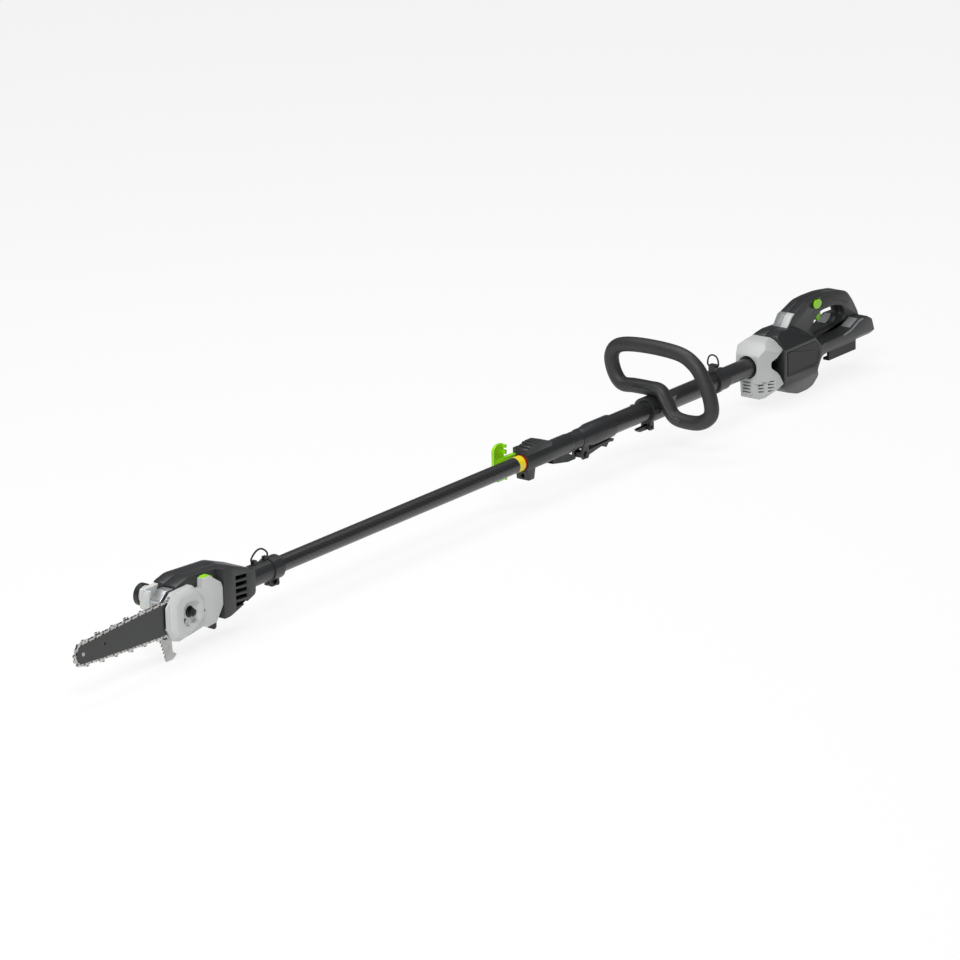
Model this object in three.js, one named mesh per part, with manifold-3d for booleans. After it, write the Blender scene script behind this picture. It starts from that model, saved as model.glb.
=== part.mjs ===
// Telescoping pole saw: a chainsaw head with its own motor on a sliding inner pole, an outer pole with a
// quick clamp, a draw latch and a loop handle, and a rear power head with the trigger and a battery bay.
//
// Millimetres. +X runs along the pole from the saw's nose to the battery bay, +Z is up, and the guide bar and
// its cover are on the -Y side. Shapes are drawn with the pole's axis on Z = 0; the last lines move the whole
// saw so that the origin is the middle of the bottom of its bounding box.
import * as THREE from "three";
import { mergeVertices } from "three/addons/utils/BufferGeometryUtils.js";
import Module from "manifold-3d";

const wasm = await Module();
wasm.setup();

// ---------------------------------------------------------------- driving dimensions

const seat = 0.3; // gap between two pieces that touch
const running = 0.5; // radial gap round a turning or sliding piece
const facets = 28; // sides of the large round pieces
const smallFacets = 12; // sides of pins, screws and wire

// poles
const innerTubeRadius = 15;
const innerTubeWall = 1.6;
const outerTubeRadius = 19;
const outerTubeWall = 1.8;
const visibleInnerPole = 716; // from the saw head's collar to the clamp's mouth
const poleOverlap = 165; // inner pole inside the clamp and the outer pole at full reach
const clampMouthX = 125;
const clampLength = 145;
const couplingGap = 32;
const rearSleeveLength = 103;
const sleeveStep = 20; // length of the rear sleeve's slim end
const slimSleeveWall = 1.9;
const fatSleeveWall = 2.6;
const spigotReach = 14; // how far the coupling spigot enters each side
const outerTubeVisible = 461; // from the rear sleeve to the power head
const outerTubeInHead = 74;

// saw head
const barLength = 314;
const barThickness = 4.6;
const barNoseWidth = 33;
const barRootWidth = 58;
const barPlaneY = -15;
const barPlaneZ = -4;
const barVisible = 224; // nose tip to the chain cover
const chainWidth = 6.4;
const chainHeight = 8.5;
const noseSprocketRadius = 11;
const driveSprocketRadius = 17;
const sprocketWidth = 9;
const barSlotPocket = 2; // width of the pocket that holds the nose sprocket
const coverLength = 150;
const coverTopZ = 42;
const coverBottomZ = -50;
const coverWall = 2.4;
const headLength = 240; // motor housing
const headTopZ = 50;
const headBottomZ = -45;
const headFarY = 44;
const shellWall = 2.6;
const crownGearRadius = 19;
const crownGearTeeth = 24;
const pinionRadius = 7;
const pinionTeeth = 9;
const motorRadius = 27;
const motorLength = 50;
const rotorRadius = 15;
const motorShaftRadius = 3;
const outputShaftRadius = 5;
const collarLength = 84;
const collarWall = 4.6;
const hookDrop = 44;
const hookThickness = 3;
const oilCapRadius = 20;
const oilCapThickness = 9;
const oilNeckLength = 22;

// loop handle
const loopX = 545;
const loopGripRadius = 15.2;
const loopBracketLength = 58;
const loopBracketWall = 6;
const strapBandX = 762;
const strapBandWidth = 36;
const strapBandWall = 3;
const ringWire = 1.7;

// power head
const frontCoverLength = 54;
const coverHalfWidth = 44;
const bodyHalfWidth = 46;
const bodyTopZ = 57;
const bodyBottomZ = -84;
const handleHalfWidth = 17;
const handleTopZ = 94;
const trayHalfWidth = 44;
const trayLength = 198;
const powerHeadLength = 389;
const trayBottomZ = -18;
const badgeLength = 112;
const badgeHeight = 48;
const badgeMiddleZ = -5;
const badgeThickness = 1.6;

// ---------------------------------------------------------------- solids

function solid(geometry) {
  const bare = geometry.clone();
  bare.deleteAttribute("normal");
  bare.deleteAttribute("uv");
  const merged = mergeVertices(bare, 1e-4);
  const triVerts = new Uint32Array(merged.index.array);
  return new wasm.Manifold(
    new wasm.Mesh({ numProp: 3, vertProperties: merged.attributes.position.array, triVerts }),
  );
}

function union(...shapes) {
  return shapes.reduce((whole, shape) => whole.add(shape));
}

function cut(shape, ...tools) {
  return tools.reduce((left, tool) => left.subtract(tool), shape);
}

function box([x0, x1], [y0, y1], [z0, z1]) {
  const geometry = new THREE.BoxGeometry(x1 - x0, y1 - y0, z1 - z0);
  return solid(geometry.translate((x0 + x1) / 2, (y0 + y1) / 2, (z0 + z1) / 2));
}

// Turns a geometry drawn about +Y so that it stands along the named axis.
function alongAxis(geometry, axis) {
  if (axis === "x") geometry.rotateZ(-Math.PI / 2);
  if (axis === "z") geometry.rotateX(Math.PI / 2);
  return geometry;
}

// A solid of revolution: profile points are [radius, place along the axis], and centre is where the axis
// lies.
function turned(axis, profile, centre = [0, 0, 0], sides = facets) {
  const points = profile.map(([radius, along]) => new THREE.Vector2(radius, along));
  if (THREE.ShapeUtils.area(points) < 0) points.reverse();
  const closes = points.every((point) => point.x > 0);
  const onAxis = points.findIndex((p, i) => p.x === 0 && points.at(i - 1).x === 0);
  const ordered = closes ? [...points, points[0]] : [...points.slice(onAxis), ...points.slice(0, onAxis)];
  return solid(alongAxis(new THREE.LatheGeometry(ordered, sides), axis).translate(...centre));
}

function rod(axis, radius, [from, to], centre, sides = smallFacets) {
  return turned(axis, [[0, from], [radius, from], [radius, to], [0, to]], centre, sides);
}

function sleeve(axis, outer, inner, [from, to], centre, sides = facets) {
  return turned(axis, [[inner, from], [outer, from], [outer, to], [inner, to]], centre, sides);
}

// A flat outline with each corner rounded by the given radius.
function outlineShape(points, round = 0) {
  const shape = new THREE.Shape();
  points.forEach(([x, y], i) => {
    const corner = new THREE.Vector2(x, y);
    const before = new THREE.Vector2(...points.at(i - 1)).sub(corner);
    const after = new THREE.Vector2(...points[(i + 1) % points.length]).sub(corner);
    const reach = Math.min(round, before.length() / 2.2, after.length() / 2.2);
    const start = corner.clone().add(before.setLength(reach));
    const end = corner.clone().add(after.setLength(reach));
    if (i === 0) shape.moveTo(start.x, start.y);
    else shape.lineTo(start.x, start.y);
    if (round > 0) shape.quadraticCurveTo(corner.x, corner.y, end.x, end.y);
  });
  shape.closePath();
  return shape;
}

function extruded(shape, depth) {
  return new THREE.ExtrudeGeometry(shape, { depth, bevelEnabled: false, curveSegments: 3 });
}

// A plate whose outline is drawn in [x, z] and that fills y0 to y1.
function sidePlate(points, [y0, y1], round = 0) {
  return solid(extruded(outlineShape(points, round), y1 - y0).rotateX(Math.PI / 2).translate(0, y1, 0));
}

// A plate whose outline is drawn in [y, z] and that fills x0 to x1.
function crossPlate(points, [x0, x1], round = 0) {
  const swap = new THREE.Matrix4().set(0, 0, 1, 0, 1, 0, 0, 0, 0, 1, 0, 0, 0, 0, 0, 1);
  return solid(extruded(outlineShape(points, round), x1 - x0).applyMatrix4(swap).translate(x0, 0, 0));
}

// A plate whose outline is drawn in [x, y] and that fills z0 to z1.
function topPlate(points, [z0, z1], round = 0) {
  return solid(extruded(outlineShape(points, round), z1 - z0).translate(0, 0, z0));
}

// A gear or sprocket outline, toothed between two radii.
function toothed(teeth, root, tip) {
  const points = [];
  for (let tooth = 0; tooth < teeth; tooth += 1) {
    for (const [share, radius] of [[0.1, root], [0.35, tip], [0.65, tip], [0.9, root]]) {
      const angle = ((tooth + share) / teeth) * Math.PI * 2;
      points.push([radius * Math.cos(angle), radius * Math.sin(angle)]);
    }
  }
  return points;
}

function wire(points, radius, closed = false, steps = 24, sides = 8) {
  const path = new THREE.CatmullRomCurve3(points.map((p) => new THREE.Vector3(...p)), closed, "centripetal");
  if (closed) return solid(new THREE.TubeGeometry(path, steps, radius, sides, true));
  const section = new THREE.Shape();
  for (let i = 0; i < sides; i += 1) {
    const angle = (i / sides) * Math.PI * 2;
    const at = [radius * Math.cos(angle), radius * Math.sin(angle)];
    if (i === 0) section.moveTo(...at);
    else section.lineTo(...at);
  }
  section.closePath();
  return solid(new THREE.ExtrudeGeometry(section, { steps, extrudePath: path, bevelEnabled: false }));
}

// ---------------------------------------------------------------- materials

const finish = {
  blackPlastic: { color: 0x2b2b2c, roughness: 0.55, metalness: 0 },
  softBlack: { color: 0x1f1f20, roughness: 0.8, metalness: 0 },
  greyPlastic: { color: 0xc4c5c4, roughness: 0.5, metalness: 0 },
  midGrey: { color: 0x77787a, roughness: 0.45, metalness: 0 },
  lime: { color: 0x9be000, roughness: 0.45, metalness: 0 },
  carbon: { color: 0x262627, roughness: 0.4, metalness: 0.1 },
  steel: { color: 0xa8aaa8, roughness: 0.35, metalness: 1 },
  darkSteel: { color: 0x3a3b3c, roughness: 0.4, metalness: 0.9 },
  aluminium: { color: 0xc9cbcc, roughness: 0.4, metalness: 1 },
  copper: { color: 0xa8632c, roughness: 0.4, metalness: 1 },
  board: { color: 0x1d5a34, roughness: 0.5, metalness: 0 },
  tank: { color: 0xd4d6d2, roughness: 0.3, metalness: 0 },
};

const saw = new THREE.Group();

function add(name, look, shape) {
  const mesh = shape.getMesh();
  const geometry = new THREE.BufferGeometry();
  geometry.setAttribute("position", new THREE.BufferAttribute(new Float32Array(mesh.vertProperties), 3));
  geometry.setIndex(new THREE.BufferAttribute(new Uint32Array(mesh.triVerts), 1));
  geometry.computeVertexNormals();
  const part = new THREE.Mesh(geometry, new THREE.MeshStandardMaterial(finish[look]));
  part.name = name;
  saw.add(part);
  return shape;
}

// ---------------------------------------------------------------- places along the pole

const collarEndX = clampMouthX - visibleInnerPole;
const collarStartX = collarEndX - collarLength;
const innerTubeStartX = collarStartX + 20;
const innerTubeEndX = clampMouthX + poleOverlap;
const clampEndX = clampMouthX + clampLength;
const rearSleeveX = clampEndX + couplingGap;
const rearSleeveEndX = rearSleeveX + rearSleeveLength;
const outerTubeX = rearSleeveX + sleeveStep + spigotReach + seat;
const frontCoverX = rearSleeveEndX + outerTubeVisible;
const outerTubeEndX = frontCoverX + outerTubeInHead;
const headEndX = collarStartX - seat;
const headStartX = headEndX - headLength;
const outputShaftX = headStartX + 120;
const outputZ = barPlaneZ;

// ---------------------------------------------------------------- guide bar, chain and sprockets

const coverStartX = headStartX + 1;
const barTipX = coverStartX - barVisible;
const barTailX = barTipX + barLength;
const noseX = barTipX + barNoseWidth / 2;
const barFront = barPlaneY - barThickness / 2;
const barBack = barPlaneY + barThickness / 2;

const barSteps = 6;
const barTailHalf = driveSprocketRadius - 3;

// One long edge of the bar from its nose to its tail: it widens along a shallow arc, then tapers at the tail.
function barEdge(side, margin, steps) {
  const points = [];
  for (let i = 1; i <= steps; i += 1) {
    const share = i / barSteps;
    const swell = ((barRootWidth - barNoseWidth) / 2) * Math.sin((share * Math.PI) / 2);
    const half = i === barSteps ? barTailHalf : barNoseWidth / 2 + swell;
    points.push([noseX + (barTailX - noseX) * share, barPlaneZ + side * (half + margin)]);
  }
  return points;
}

function barNose(margin) {
  const radius = barNoseWidth / 2 + margin;
  const points = [];
  for (let i = 0; i <= 10; i += 1) {
    const angle = Math.PI / 2 + (i / 10) * Math.PI;
    points.push([noseX + radius * Math.cos(angle), barPlaneZ + radius * Math.sin(angle)]);
  }
  return points;
}

function barOutline() {
  return [...barNose(0), ...barEdge(-1, 0, barSteps), ...barEdge(1, 0, barSteps).reverse()];
}

function guideBar() {
  const studSlot = box(
    [barTailX - 62, barTailX - 8], [barFront - 1, barBack + 1], [barPlaneZ - 4.6, barPlaneZ + 4.6],
  );
  const pocket = rod(
    "y", noseSprocketRadius + 2, [-barSlotPocket / 2, barSlotPocket / 2],
    [noseX, barPlaneY, barPlaneZ], 20,
  );
  const mouth = box(
    [barTipX - 5, noseX], [barPlaneY - barSlotPocket / 2, barPlaneY + barSlotPocket / 2],
    [barPlaneZ - 9, barPlaneZ + 9],
  );
  const rivet = rod("y", 3.2, [-barThickness / 2, barThickness / 2], [noseX, barPlaneY, barPlaneZ]);
  const hole = rod("y", 3, [-10, 10], [noseX + 55, barPlaneY, barPlaneZ + 3]);
  return union(cut(sidePlate(barOutline(), [barFront, barBack]), studSlot, pocket, mouth, hole), rivet);
}

add("guide_bar", "darkSteel", guideBar());
add(
  "nose_sprocket",
  "steel",
  cut(
    sidePlate(
      toothed(10, noseSprocketRadius - 2.5, noseSprocketRadius), [-0.6, 0.6],
    ).translate([noseX, barPlaneY, barPlaneZ]),
    rod("y", 3.2 + running, [-2, 2], [noseX, barPlaneY, barPlaneZ]),
  ),
);

// The chain is a closed band that follows the bar and closes round the drive sprocket.
function chainLoop(inner, outer) {
  const wrap = (margin) => {
    const wheel = [];
    for (let i = 0; i <= 8; i += 1) {
      const angle = -Math.PI / 2 + (i / 8) * Math.PI;
      const radius = driveSprocketRadius + margin;
      wheel.push([outputShaftX + radius * Math.cos(angle), outputZ + radius * Math.sin(angle)]);
    }
    const along = barSteps - 1;
    return [
      ...barNose(margin), ...barEdge(-1, margin, along), ...wheel,
      ...barEdge(1, margin, along).reverse(),
    ];
  };
  const half = chainWidth / 2;
  return cut(
    sidePlate(wrap(outer), [barPlaneY - half, barPlaneY + half]),
    sidePlate(wrap(inner), [barPlaneY - half - 1, barPlaneY + half + 1]),
  );
}
add("saw_chain", "steel", chainLoop(running, running + chainHeight));

add(
  "drive_sprocket",
  "steel",
  cut(
    sidePlate(
      toothed(7, driveSprocketRadius - 4, driveSprocketRadius - 0.3),
      [-sprocketWidth / 2, sprocketWidth / 2],
    ).translate([
      outputShaftX, barPlaneY, outputZ,
    ]),
    rod("y", outputShaftRadius + seat, [-10, 10], [outputShaftX, barPlaneY, outputZ]),
  ),
);

// ---------------------------------------------------------------- drive inside the saw head

const wallFrontY = barPlaneY + sprocketWidth / 2 + 1.5; // near face of the gear case
const gearPlaneY = 6;
const motorY = gearPlaneY + 7 + pinionRadius;
const motorX = outputShaftX + crownGearRadius + 14;
const gearCaseEndY = motorY + pinionRadius + 4;
const bearingOuter = outputShaftRadius + 6;

add(
  "output_shaft", "steel",
  rod("y", outputShaftRadius, [barPlaneY - sprocketWidth / 2, gearCaseEndY - 4], [outputShaftX, 0, outputZ]),
);
add(
  "crown_gear",
  "darkSteel",
  cut(
    sidePlate(
      toothed(crownGearTeeth, crownGearRadius - 2, crownGearRadius), [gearPlaneY, gearPlaneY + 6],
    ).translate([outputShaftX, 0, outputZ]),
    rod("y", outputShaftRadius + seat, [gearPlaneY - 1, gearPlaneY + 7], [outputShaftX, 0, outputZ]),
  ),
);
const frontBearing = [wallFrontY + 0.6, wallFrontY + 6.6];
const rearBearing = [gearCaseEndY - 11, gearCaseEndY - 5];
for (const [name, span] of [["front_bearing", frontBearing], ["rear_bearing", rearBearing]]) {
  add(
    name, "steel",
    sleeve("y", bearingOuter, outputShaftRadius + seat, span, [outputShaftX, 0, outputZ], 20),
  );
}

const pinionX = outputShaftX + crownGearRadius - 2;
add(
  "motor_pinion",
  "steel",
  cut(
    crossPlate(
      toothed(pinionTeeth, pinionRadius - 1.8, pinionRadius), [pinionX - 4, pinionX + 6],
    ).translate([0, motorY, outputZ]),
    rod("x", motorShaftRadius + seat, [pinionX - 5, pinionX + 7], [0, motorY, outputZ]),
  ),
);
add(
  "motor_rotor",
  "darkSteel",
  union(
    rod("x", motorShaftRadius, [pinionX - 4, motorX + motorLength + 9], [0, motorY, outputZ]),
    rod("x", rotorRadius, [motorX + 4, motorX + motorLength - 4], [0, motorY, outputZ], 24),
  ),
);
add(
  "motor_stator", "copper",
  sleeve("x", motorRadius - 6, rotorRadius + running, [motorX, motorX + motorLength], [0, motorY, outputZ]),
);

const snoutTopZ = 38;
const snoutEndY = motorY - 1;
const gearCaseX = [outputShaftX - crownGearRadius - 8, motorX - 2];
function gearCase() {
  const [x0, x1] = gearCaseX;
  const reach = crownGearRadius + 7;
  const block = sidePlate(
    [[x0, outputZ - reach], [x1, outputZ - reach], [x1, outputZ + reach], [x0, outputZ + reach]],
    [wallFrontY, gearCaseEndY], 8,
  );
  const cavity = box(
    [x0 + 5, x1 - 4], [frontBearing[1] + 1, rearBearing[0] - 0.8],
    [outputZ - reach + 5, outputZ + reach - 5],
  );
  const pinionPocket = box(
    [outputShaftX + bearingOuter + 1.4, x1 - 4],
    [gearPlaneY, motorY + pinionRadius + 1.2],
    [outputZ - pinionRadius - 1.5, outputZ + pinionRadius + 1.5],
  );
  const seats = [frontBearing, rearBearing].map((span) =>
    rod("y", bearingOuter + seat, [span[0] - 0.5, span[1] + 1], [outputShaftX, 0, outputZ], 20),
  );
  const shaftHole = rod(
    "y", outputShaftRadius + running, [wallFrontY - 1, gearCaseEndY + 1],
    [outputShaftX, 0, outputZ],
  );
  const motorHole = rod("x", motorShaftRadius + 5, [x1 - 6, x1 + 1], [0, motorY, outputZ]);
  const snout = sidePlate(
    [
      [x0 - 84, outputZ + 14], [x0 - 40, outputZ - 2], [x0 + 1, outputZ - 2], [x0 + 1, outputZ + reach - 2],
      [x0 - 34, snoutTopZ], [x0 - 66, snoutTopZ], [x0 - 84, snoutTopZ - 14],
    ],
    [wallFrontY + 6, snoutEndY],
  );
  return cut(union(block, snout), cavity, pinionPocket, ...seats, shaftHole, motorHole);
}
add("gear_case", "aluminium", gearCase());

// ---------------------------------------------------------------- saw head housing, in two shells

const headFrontY = wallFrontY; // near face, which the chain cover stands off from
const headSplitY = motorY;
const headEndHalf = innerTubeRadius + collarWall + 3;

// The head's side outline, drawn in by the given margin.
function headOutline(margin) {
  return [
    [headStartX + 46 + margin, headTopZ - 8 - margin],
    [headStartX + 76, headTopZ - margin],
    [headEndX - 60, headTopZ - 6 - margin],
    [headEndX - margin, headEndHalf - margin],
    [headEndX - margin, -headEndHalf + margin],
    [headEndX - 70, headBottomZ + margin],
    [headStartX + 8 + margin, headBottomZ + margin],
    [headStartX + 8 + margin, -24 + margin],
  ];
}

const bulgeX = coverStartX + coverLength + 3;
const bulgeY = -innerTubeRadius - collarWall - 4;

function headShell([y0, y1], openSide) {
  const shell = sidePlate(headOutline(0), [y0, y1], 7);
  const hollow = sidePlate(
    headOutline(shellWall), openSide > 0 ? [y0 + shellWall, y1 + 1] : [y0 - 1, y1 - shellWall], 6,
  );
  const poleHole = rod(
    "x", innerTubeRadius + collarWall + seat, [headEndX - 30, headEndX + 1], [0, 0, 0], facets,
  );
  if (openSide < 0) return cut(shell, hollow, poleHole);
  const bulge = sidePlate(headOutline(0), [bulgeY, y0 + 1], 7).intersect(box(
    [bulgeX, headEndX + 1], [-60, 60], [-90, 90],
  ));
  const bulgeHollow = sidePlate(
    headOutline(shellWall), [bulgeY + shellWall, y0 + shellWall + 1], 6,
  ).intersect(
    box([bulgeX + shellWall, headEndX + 1], [-60, 60], [-90, 90]),
  );
  return cut(union(shell, bulge), hollow, bulgeHollow, poleHole);
}

// Slanted vent slots near the rear of a shell's side wall.
function headVents([y0, y1]) {
  const slots = [];
  for (let i = 0; i < 5; i += 1) {
    const z = 24 - i * 12;
    slots.push(sidePlate(
      [[headEndX - 54, z], [headEndX - 24, z - 3], [headEndX - 24, z - 9], [headEndX - 54, z - 7]],
      [y0, y1], 1.5,
    ));
  }
  return slots;
}

// The limb hook hangs through a slot in the near shell's floor.
const hookX = headStartX + 20;
const hookTopZ = headBottomZ + 15;
const hookY = [headFrontY + shellWall + seat, headFrontY + shellWall + seat + hookThickness];
const hookSlot = box(
  [headStartX, hookX + 18 + seat], [hookY[0] - seat, hookY[1] + seat], [headBottomZ - 1, hookTopZ],
);

const gearCaseHole = sidePlate(
  [
    [gearCaseX[0] - seat, outputZ - crownGearRadius - 7 - seat],
    [gearCaseX[1] + seat, outputZ - crownGearRadius - 7 - seat],
    [gearCaseX[1] + seat, outputZ + crownGearRadius + 7 + seat],
    [gearCaseX[0] - seat, outputZ + crownGearRadius + 7 + seat],
  ],
  [wallFrontY - 5, gearCaseEndY + seat],
);
const snoutHole = box(
  [headStartX - 20, gearCaseX[0]],
  [wallFrontY + 5.5, snoutEndY + seat],
  [outputZ - 4, snoutTopZ + seat],
);
const nutX = headStartX + 61;
const studHole = rod("y", 4 + seat, [headFrontY - 1, headFrontY + shellWall + 1], [nutX, 0, barPlaneZ]);
const nearShell = [headFrontY, headSplitY - seat / 2];
const farShell = [headSplitY + seat / 2, headFarY];
add(
  "head_shell_right", "blackPlastic",
  cut(
    headShell(nearShell, 1), gearCaseHole, snoutHole, hookSlot, studHole,
    ...headVents([bulgeY - 1, bulgeY + 4]),
  ),
);
const tankX = [headStartX + 8, headStartX + 84];
const tankZ = [2, headTopZ - 10];
const tankY = [gearCaseEndY + 2 * seat, gearCaseEndY + 11];
const tankPocket = box(
  [headStartX - 1, tankX[1] + seat],
  [tankY[0] - seat, headFarY + 1],
  [tankZ[0] - seat, tankZ[1] + seat],
);
add(
  "head_shell_left",
  "blackPlastic",
  cut(
    headShell(farShell, -1), gearCaseHole, snoutHole, tankPocket,
    ...headVents([headFarY - 4, headFarY + 1]),
  ),
);

// ---------------------------------------------------------------- oiling

const oilCapX = tankX[0] + oilCapRadius + 3;
const oilCapZ = (tankZ[0] + tankZ[1]) / 2;
const neckEndY = tankY[1] + oilNeckLength - 14;
function oilTank() {
  const body = sidePlate(
    [
      [tankX[0], tankZ[0]], [tankX[1], tankZ[0]], [tankX[1], tankZ[1] - 8],
      [tankX[1] - 16, tankZ[1]], [tankX[0], tankZ[1]],
    ],
    tankY, 6,
  );
  const front = box(
    [tankX[0], headStartX + 15], [snoutEndY + 2 * seat, tankY[0] + 1], [tankZ[0] + 1, tankZ[1] - 2],
  );
  const neck = rod("y", oilCapRadius - 3, [tankY[0] + 1, neckEndY], [oilCapX, 0, oilCapZ], 24);
  const well = rod("y", oilCapRadius - 7, [tankY[0] + 3, neckEndY + 1], [oilCapX, 0, oilCapZ], 24);
  const store = box([oilCapX, tankX[1] - 4], [tankY[0] + 3, tankY[1] - 3], [tankZ[0] + 4, tankZ[1] - 10]);
  return cut(union(body, front, neck), well, store);
}
add("oil_tank", "tank", oilTank());
add(
  "oil_cap",
  "softBlack",
  cut(
    union(
      rod("y", oilCapRadius, [neckEndY + seat, neckEndY + oilCapThickness], [oilCapX, 0, oilCapZ], 24),
      rod("y", oilCapRadius - 7.5, [neckEndY - 6, neckEndY + 2], [oilCapX, 0, oilCapZ], 24),
    ),
    box([oilCapX - 14, oilCapX - 3], [neckEndY + 5, neckEndY + 12], [oilCapZ - 12, oilCapZ + 12]),
    box([oilCapX + 3, oilCapX + 14], [neckEndY + 5, neckEndY + 12], [oilCapZ - 12, oilCapZ + 12]),
  ),
);
add(
  "oil_pump",
  "darkSteel",
  union(
    box(
      [outputShaftX - 16, outputShaftX + 8], [gearCaseEndY + seat, headFarY - shellWall - seat],
      [outputZ - 16, outputZ - 2],
    ),
    rod("x", 2.4, [outputShaftX - 24, outputShaftX - 15], [0, gearCaseEndY + 4, outputZ - 9], 12),
  ),
);

// ---------------------------------------------------------------- chain cover and what it carries

const coverBackY = headFrontY - seat;
const coverFaceY = barFront - 12;
const screwX = coverStartX + 46;
const screwZ = barPlaneZ - 15;
const coverEndX = coverStartX + coverLength;

const coverOutline = [
  [coverStartX, 20], [coverStartX + 20, coverTopZ - 5], [coverStartX + 78, coverTopZ - 4], [
    coverStartX + 92, coverTopZ - 14,
  ],
  [coverStartX + 99, coverTopZ + 1], [
    coverStartX + 118, coverTopZ + 1,
  ], [coverEndX - 6, 26], [coverEndX, 16], [coverEndX, -24],
  [coverEndX - 24, -42], [coverEndX - 60, -46], [coverStartX + 34, coverBottomZ], [
    coverStartX + 16, coverBottomZ + 4,
  ],
  [coverStartX, -22],
];
const bossOutline = [
  [
    coverStartX + 20, -18,
  ], [coverStartX + 20, 20], [coverStartX + 32, 32], [coverStartX + 66, 32], [coverStartX + 80, 20],
  [coverStartX + 80, -20], [coverStartX + 62, -36], [coverStartX + 34, -38],
];
const recessOutline = [
  [
    coverStartX + 34, -24,
  ], [coverStartX + 34, 16], [coverStartX + 44, 20], [coverStartX + 72, 18], [coverStartX + 74, -10],
  [coverStartX + 60, -28],
];

function chainCover() {
  const insideY = barPlaneY - sprocketWidth / 2 - 1;
  const shell = union(
    sidePlate(coverOutline, [coverFaceY + 6, coverBackY], 5),
    sidePlate(bossOutline, [coverFaceY, coverFaceY + 8], 6),
  );
  const recess = sidePlate(recessOutline, [coverFaceY - 1, coverFaceY + 5], 5);
  const inner = coverOutline.map(([x, z]) => [
    THREE.MathUtils.clamp(x, coverStartX - 9, coverEndX - coverWall),
    THREE.MathUtils.clamp(z * 0.93, coverBottomZ + coverWall, coverTopZ - coverWall),
  ]);
  const space = sidePlate(inner, [insideY, coverBackY + 1], 4);
  const mouth = box([coverStartX - 10, coverStartX + 40], [insideY, coverBackY + 1], [-44, 34]);
  const nutHole = rod("y", 5, [coverFaceY - 1, insideY + 1], [nutX, 0, barPlaneZ]);
  const screwHole = rod("y", 4.4, [coverFaceY - 1, insideY + 1], [screwX, 0, screwZ]);
  const smallHole = rod("y", 2.4, [coverFaceY - 1, insideY + 1], [coverStartX + 88, 0, -8], 12);
  return cut(shell, recess, space, mouth, nutHole, screwHole, smallHole);
}
add("chain_cover", "greyPlastic", chainCover());
const nutSeatY = coverFaceY + 5 - seat;
const studHeadY = headFrontY + shellWall + seat;
add(
  "bar_stud",
  "steel",
  union(
    rod("y", 4, [nutSeatY - 9, studHeadY + 1], [nutX, 0, barPlaneZ]),
    rod("y", 7, [studHeadY, studHeadY + 2.4], [nutX, 0, barPlaneZ]),
  ),
);
add(
  "bar_nut",
  "softBlack",
  cut(
    union(
      sidePlate(toothed(6, 6.6, 7.6), [nutSeatY - 9, nutSeatY]).translate([nutX, 0, barPlaneZ]),
      rod("y", 9, [nutSeatY - 1.6, nutSeatY], [nutX, 0, barPlaneZ], 20),
    ),
    rod("y", 4 + seat, [nutSeatY - 20, nutSeatY + 1], [nutX, 0, barPlaneZ]),
  ),
);
add(
  "tension_screw",
  "steel",
  cut(
    union(
      rod("y", 5.2, [nutSeatY - 4.5, nutSeatY], [screwX, 0, screwZ]),
      rod("y", 3.6, [nutSeatY - 1, coverFaceY + 10], [screwX, 0, screwZ]),
    ),
    box([screwX - 6, screwX + 6], [nutSeatY - 5, nutSeatY - 3.2], [screwZ - 0.7, screwZ + 0.7]),
  ),
);

// The limb hook hangs from the head beside the bar, with teeth on its front edge.
const hookTipZ = coverBottomZ - hookDrop + 8;
function limbHook() {
  const edge = [];
  for (let i = 0; i < 5; i += 1) {
    const z = coverBottomZ + 6 - i * 7;
    const x = hookX - 14 + i * 2.6;
    edge.push([x, z], [x - 3, z - 5]);
  }
  return sidePlate(
    [
      [hookX + 18, hookTopZ], [hookX - 12, hookTopZ], ...edge, [hookX - 3, hookTipZ],
      [hookX + 14, hookTipZ], [hookX + 24, hookTipZ + 7], [hookX + 14, hookTipZ + 14],
      [hookX + 12, coverBottomZ],
    ],
    hookY,
  );
}
add("limb_hook", "steel", limbHook());

const pegX = coverEndX - 8;
add(
  "chip_deflector",
  "softBlack",
  sidePlate(
    [
      [pegX - 8, headBottomZ - seat], [pegX + 8, headBottomZ - seat], [pegX + 7, headBottomZ - 17],
      [pegX + 1, headBottomZ - 19], [pegX - 6, headBottomZ - 15],
    ],
    [headFrontY + 2, headFrontY + 12], 2,
  ),
);

// ---------------------------------------------------------------- collar and inner pole

const collarRadius = innerTubeRadius + collarWall;
const ringClampX = [collarEndX - 26, collarEndX];
const collarBore = innerTubeRadius + seat;
const earY = 9;
const earZ = -collarRadius - 6;
function collar() {
  const body = union(
    rod("x", collarRadius, [collarStartX - 24, collarEndX - 2], [0, 0, 0], facets),
    rod("x", collarRadius + 2.2, ringClampX, [0, 0, 0], facets),
    box([ringClampX[0] + 3, ringClampX[1] - 3], [-earY, earY], [earZ - 5, -collarRadius + 3]),
    box([collarEndX - 64, collarEndX - 56], [-4, 4], [collarRadius - 2, collarRadius + 7]),
    box([collarEndX - 34, collarEndX - 26.5], [-4, 4], [collarRadius - 2, collarRadius + 7]),
  );
  const split = box([ringClampX[0] - 1, ringClampX[1] + 1], [-1.2, 1.2], [earZ - 6, -innerTubeRadius]);
  const screwHole = rod("y", 2.6, [-earY - 1, earY + 1], [ringClampX[0] + 13, 0, earZ + 1]);
  const eyes = rod("x", ringWire + seat, [collarEndX - 70, collarEndX - 20], [0, 0, collarRadius + 3.6], 12);
  return cut(
    body, rod("x", collarBore, [collarStartX - 30, collarEndX + 1], [0, 0, 0], facets), split,
    screwHole, eyes,
  );
}
add("tube_collar", "blackPlastic", collar());
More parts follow.
